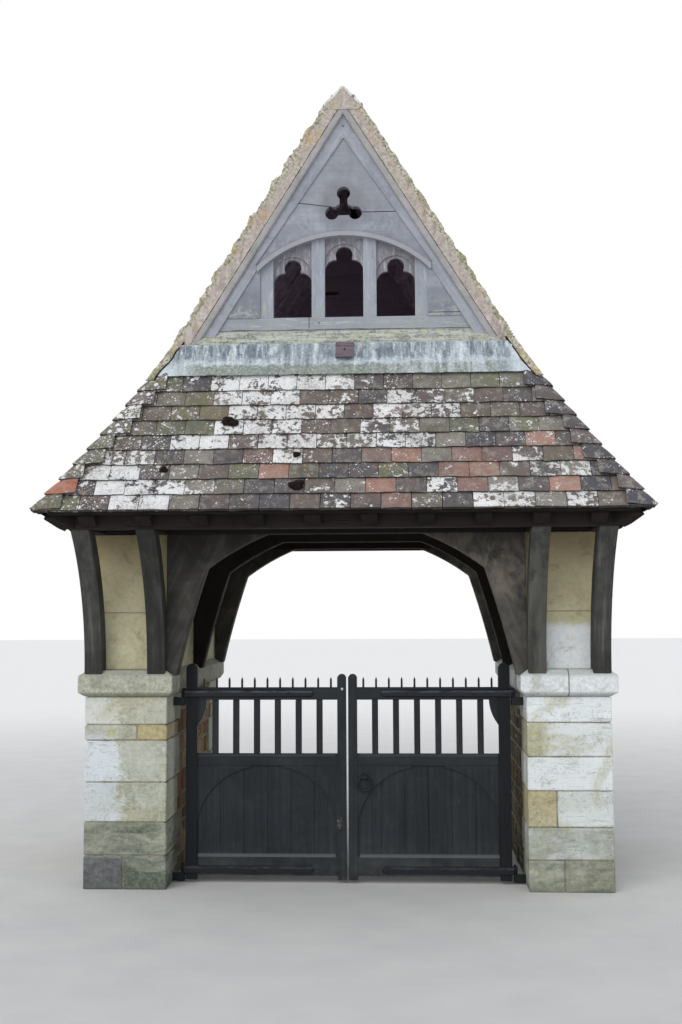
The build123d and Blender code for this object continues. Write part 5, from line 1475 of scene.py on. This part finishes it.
def add_block(shape, low, high, bevel, bulge, seed, **values):
    """One stone with rounded arrises and faintly uneven faces."""
    low, high = Vector(low), Vector(high)
    size = high - low
    cuts = [max(2, min(8, int(size[axis] / 0.06) + 1)) for axis in range(3)]
    marks = []
    for axis in range(3):
        inner = [low[axis] + bevel + (size[axis] - 2 * bevel) * k / cuts[axis] for k in range(cuts[axis] + 1)]
        marks.append([low[axis]] + inner + [high[axis]])
    points, index = [], {}

    def put(i, j, k):
        key = (i, j, k)
        if key not in index:
            spot = Vector((marks[0][i], marks[1][j], marks[2][k]))
            ends = [(key[a] in (0, len(marks[a]) - 1)) for a in range(3)]
            if sum(ends) >= 2:
                for a in range(3):
                    if ends[a]:
                        spot[a] += bevel * (0.42 if key[a] == 0 else -0.42)
            shift = rough(spot, 0.07, bulge, seed)
            for a in range(3):
                inward = abs(shift[a])
                if key[a] == 0:
                    spot[a] += inward
                elif key[a] == len(marks[a]) - 1:
                    spot[a] -= inward
            index[key] = len(points)
            points.append(spot)
        return index[key]

    faces = []
    for axis in range(3):
        u, v = [a for a in range(3) if a != axis]
        for end in (0, len(marks[axis]) - 1):
            for p in range(len(marks[u]) - 1):
                for q in range(len(marks[v]) - 1):
                    corners = []
                    for dp, dq in ((0, 0), (1, 0), (1, 1), (0, 1)):
                        key = [0, 0, 0]
                        key[axis], key[u], key[v] = end, p + dp, q + dq
                        corners.append(put(*key))
                    faces.append(corners)
    shape.add(points, faces, **values)


# Heights of the joints between the quoin courses, from the ground up
LEFT_COURSES = (0.0, 0.190, 0.378, 0.604, 0.842, 0.931, 1.0925)
RIGHT_COURSES = (0.0, 0.176, 0.358, 0.562, 0.752, 0.944, 1.0925)
JOINT = 0.0022
QUOIN = 0.355
RUBBLE_HALF = FRONT - QUOIN


def quoins(shape, sign, end, courses, looks):
    """Squared stones at one end of a side wall, long over the rubble and short by turns."""
    inner, outer = sign * PASSAGE, sign * WALL_OUTER
    for course, (low, high) in enumerate(zip(courses, courses[1:])):
        depth = QUOIN + (0.070 + chance.uniform(-0.020, 0.020) if course % 2
                         else -chance.uniform(0.0, 0.006))
        front, back = end * FRONT, end * (FRONT - depth)
        y = sorted((front, back))
        for start, stop, look in looks[course]:
            edges = sorted((inner + (outer - inner) * start, inner + (outer - inner) * stop))
            gap_low = JOINT if start > 0 else 0.0
            gap_high = JOINT if stop < 1 else 0.0
            lows = (edges[0] + (gap_low if sign > 0 else gap_high), y[0], low + (JOINT if low > 0 else 0))
            highs = (edges[1] - (gap_high if sign > 0 else gap_low), y[1], high - JOINT)
            add_block(shape, lows, highs, 0.006, 0.0035, chance.uniform(0, 50), **look)


def look(tone, warm=0.0, moss=0.0):
    return {"tone": tone, "warm": warm, "moss": moss}


# Each course as (start, stop, look), measured from the passage side as a share of the wall
LEFT_LOOKS = (((0.0, 0.52, look(0.20, 0.0, 1.25)), (0.52, 1.0, look(0.25, 0.0, 1.15))),
              ((0.0, 1.0, look(0.30, 0.10, 0.80)),),
              ((0.0, 1.0, look(0.62, 0.0, 0.14)),),
              ((0.0, 1.0, look(0.78, 0.0, 0.04)),),
              ((0.0, 0.36, look(0.48, 1.0, 0.0)), (0.36, 1.0, look(0.52, 0.25, 0.15))),
              ((0.0, 1.0, look(0.74, 0.20, 0.0)),))
RIGHT_LOOKS = (((0.0, 0.42, look(0.40, 0.0, 0.70)), (0.42, 1.0, look(0.30, 0.25, 0.62))),
               ((0.0, 1.0, look(0.52, 0.0, 0.42)),),
               ((0.0, 0.34, look(0.42, 0.85, 0.0)), (0.34, 1.0, look(0.66, 0.0, 0.08))),
               ((0.0, 1.0, look(0.86, 0.0, 0.0)),),
               ((0.0, 1.0, look(0.84, 0.06, 0.05)),),
               ((0.0, 1.0, look(0.98, 0.0, 0.0)),))


def rubble_face(shape, plane, facing, phase):
    """Coursed rough stones between the quoins, laid out as on the frame, some of them split."""
    courses, half = 9, RUBBLE_HALF
    levels = [WALL_TOP * k / courses + (0.014 * math.sin(2.4 * k + phase) if 0 < k < courses else 0.0)
              for k in range(courses + 1)]
    for course in range(courses):
        count = 6 + course % 2
        ends = [half * (2 * k / count - 1)
                + (0.030 * math.sin(1.7 * course + 2.3 * k + phase) if 0 < k < count else 0.0)
                for k in range(count + 1)]
        bottom = levels[course] + (0.005 if course else 0.0)
        top = levels[course + 1] - 0.005
        for left, right in zip(ends, ends[1:]):
            left, right = left + 0.005, right - 0.005
            rests = [(left, right, bottom, top)]
            if chance.random() < 0.22 and right - left > 0.19:
                cut = left + (right - left) * chance.uniform(0.35, 0.65)
                rests = [(left, cut - 0.004, bottom, top), (cut + 0.004, right, bottom, top)]
            elif chance.random() < 0.16:
                cut = bottom + (top - bottom) * chance.uniform(0.42, 0.58)
                rests = [(left, right, bottom, cut - 0.004), (left, right, cut + 0.004, top)]
            for y0, y1, z0, z1 in rests:
                beside_quoin = y0 < -half + 0.01 or y1 > half - 0.01
                near = plane - facing * chance.uniform(0.004 if beside_quoin else 0.0, 0.010)
                xs = sorted((near, plane - facing * 0.07))
                add_block(shape, (xs[0], y0, z0), (xs[1], y1, z1), 0.011, 0.008, chance.uniform(0, 80),
                          tone=chance.uniform(0.1, 0.95), warm=1.0 if chance.random() < 0.2 else 0.0)


def side_wall(side, sign, courses, looks):
    """Quoins at both ends, rubble on both faces and a core of mortar."""
    blocks, stones, core = Shape(), Shape(), Shape()
    quoins(blocks, sign, -1, courses, looks)
    quoins(blocks, sign, 1, courses, looks)
    rubble_face(stones, sign * PASSAGE, -sign, 1)
    rubble_face(stones, sign * WALL_OUTER, sign, -1)
    inner, outer = sorted((sign * (PASSAGE + 0.013), sign * (WALL_OUTER - 0.013)))
    add_block(core, (inner, -FRONT + 0.007, 0.0005), (outer, FRONT - 0.007, WALL_TOP - 0.0005),
              0.004, 0.002, 5.0)
    blocks.make(f"quoins_{side}", "ashlar", "structure", "ashlar", (f"lower_wall_{side}",), smooth=32)
    stones.make(f"rubble_{side}", "rubble", "structure", "ashlar", smooth=32)
    core.make(f"mortar_{side}", "mortar", "structure", "ashlar", smooth=32)


side_wall("left", -1, LEFT_COURSES, LEFT_LOOKS)
side_wall("right", 1, RIGHT_COURSES, RIGHT_LOOKS)


# Small fixings

def dome(shape, centre, axis, radius, height):
    """A round bolt or peg head standing on a face."""
    sides = 12
    axis = Vector(axis).normalized()
    first = axis.orthogonal().normalized()
    second = axis.cross(first)
    rings = ((1.0, 0.0), (1.0, 0.35), (0.82, 0.78), (0.45, 0.97))
    points = []
    for spread, up in rings:
        for i in range(sides):
            turn = 2 * math.pi * i / sides
            points.append(Vector(centre) + axis * (height * up)
                          + (first * math.cos(turn) + second * math.sin(turn)) * (radius * spread))
    points.append(Vector(centre) + axis * height)
    faces = grid_faces(sides, len(rings), closed=True)
    last = (len(rings) - 1) * sides
    faces += [(last + i, last + (i + 1) % sides, len(points) - 1) for i in range(sides)]
    faces.append(list(range(sides))[::-1])
    shape.add(points, faces)


for side, sign, body in (("left", -1, "left_leaf"), ("right", 1, "right_leaf")):
    heads = Shape()
    for level in (HIGH_STRAP, LOW_STRAP):
        for share in (0.03, 0.30, 0.58, 0.86):
            x = 0.952 - share * 0.70
            dome(heads, (sign * x, -(STRAP_FRONT - 0.0002), level), (0, -1, 0), BOLT_RADIUS, 0.0045)
    heads.make(f"strap_bolts_{side}", "iron", body, "black_iron", smooth=50)

pegs = Shape()
dome(pegs, (-0.0290, -(GATE_FRONT - 0.0002), 1.123), (0, -1, 0), BOLT_RADIUS, 0.004)
pegs.make("stile_bolt", "bolt", "left_leaf", "black_iron", smooth=50)


# Lights, floor, background and camera

def stage():
    """A pale floor, an even sky and one soft sun."""
    floor_net = Net("pale_floor", specular=0.2)
    x, y, _ = floor_net.parts(floor_net.place)
    away = floor_net.root(x * x + y * y)
    grain = floor_net.noise(floor_net.place, 3.0, 4.0)
    near = floor_net.ramp(grain, (0.3, 206, 206, 206), (0.7, 214, 214, 213))
    colour = floor_net.mix(floor_net.band(away, 3.5, 14.0), near, tint(244, 244, 244))
    floor_net.finish(colour, 0.9)
    mesh = bpy.data.meshes.new("floor")
    size = 60.0
    mesh.from_pydata([(-size, -size, 0), (size, -size, 0), (size, size, 0), (-size, size, 0)], [],
                     [(0, 1, 2, 3)])
    mesh.materials.append(floor_net.material)
    floor = bpy.data.objects.new("floor", mesh)
    bpy.context.scene.collection.objects.link(floor)

    world = bpy.data.worlds.new("studio")
    bpy.context.scene.world = world
    world.use_nodes = True
    tree = world.node_tree
    tree.nodes.clear()
    output = tree.nodes.new("ShaderNodeOutputWorld")
    lamp, seen = (tree.nodes.new("ShaderNodeBackground") for _ in range(2))
    for sky, colour, strength in ((lamp, (0.93, 0.96, 1.0, 1.0), 0.72), (seen, (1.0, 1.0, 1.0, 1.0), 1.0)):
        sky.inputs["Color"].default_value = colour
        sky.inputs["Strength"].default_value = strength
    path = tree.nodes.new("ShaderNodeLightPath")
    looked_at = path.outputs["Is Camera Ray"]
    for ray in ("Is Glossy Ray", "Is Transmission Ray"):
        either = tree.nodes.new("ShaderNodeMath")
        either.operation = "MAXIMUM"
        tree.links.new(looked_at, either.inputs[0])
        tree.links.new(path.outputs[ray], either.inputs[1])
        looked_at = either.outputs[0]
    blend = tree.nodes.new("ShaderNodeMixShader")
    tree.links.new(looked_at, blend.inputs[0])
    tree.links.new(lamp.outputs[0], blend.inputs[1])
    tree.links.new(seen.outputs[0], blend.inputs[2])
    tree.links.new(blend.outputs[0], output.inputs[0])

    sun = bpy.data.lights.new("soft_sun", "SUN")
    sun.energy = 1.1
    sun.angle = math.radians(50)
    sun.color = (1.0, 0.97, 0.93)
    lamp_object = bpy.data.objects.new("soft_sun", sun)
    lamp_object.rotation_euler = (math.radians(52), 0, math.radians(-28))
    bpy.context.scene.collection.objects.link(lamp_object)


def camera():
    """The camera of the photograph: its place in metres and its turns in degrees."""
    place = (0.354, -8.199, 1.587)
    yaw, pitch, roll = (math.radians(a) for a in (2.976, 4.474, -0.253))
    ahead = Vector((-math.sin(yaw), math.cos(yaw), 0))
    right = Vector((math.cos(yaw), math.sin(yaw), 0))
    up = Vector((0, 0, 1))
    look_along = ahead * math.cos(pitch) + up * math.sin(pitch)
    above = -ahead * math.sin(pitch) + up * math.cos(pitch)
    turned_right = right * math.cos(roll) + above * math.sin(roll)
    turned_up = -right * math.sin(roll) + above * math.cos(roll)
    lens = bpy.data.cameras.new("camera")
    lens.lens = 43.95
    lens.sensor_width = 36.0
    lens.clip_end = 200.0
    placed = bpy.data.objects.new("camera", lens)
    rows = [(turned_right[i], turned_up[i], -look_along[i]) for i in range(3)]
    placed.matrix_world = Matrix.Translation(place) @ Matrix(rows).to_4x4()
    bpy.context.scene.collection.objects.link(placed)
    bpy.context.scene.camera = placed


stage()
camera()
bpy.context.scene.view_settings.view_transform = "Standard"

bpy.context.view_layer.update()
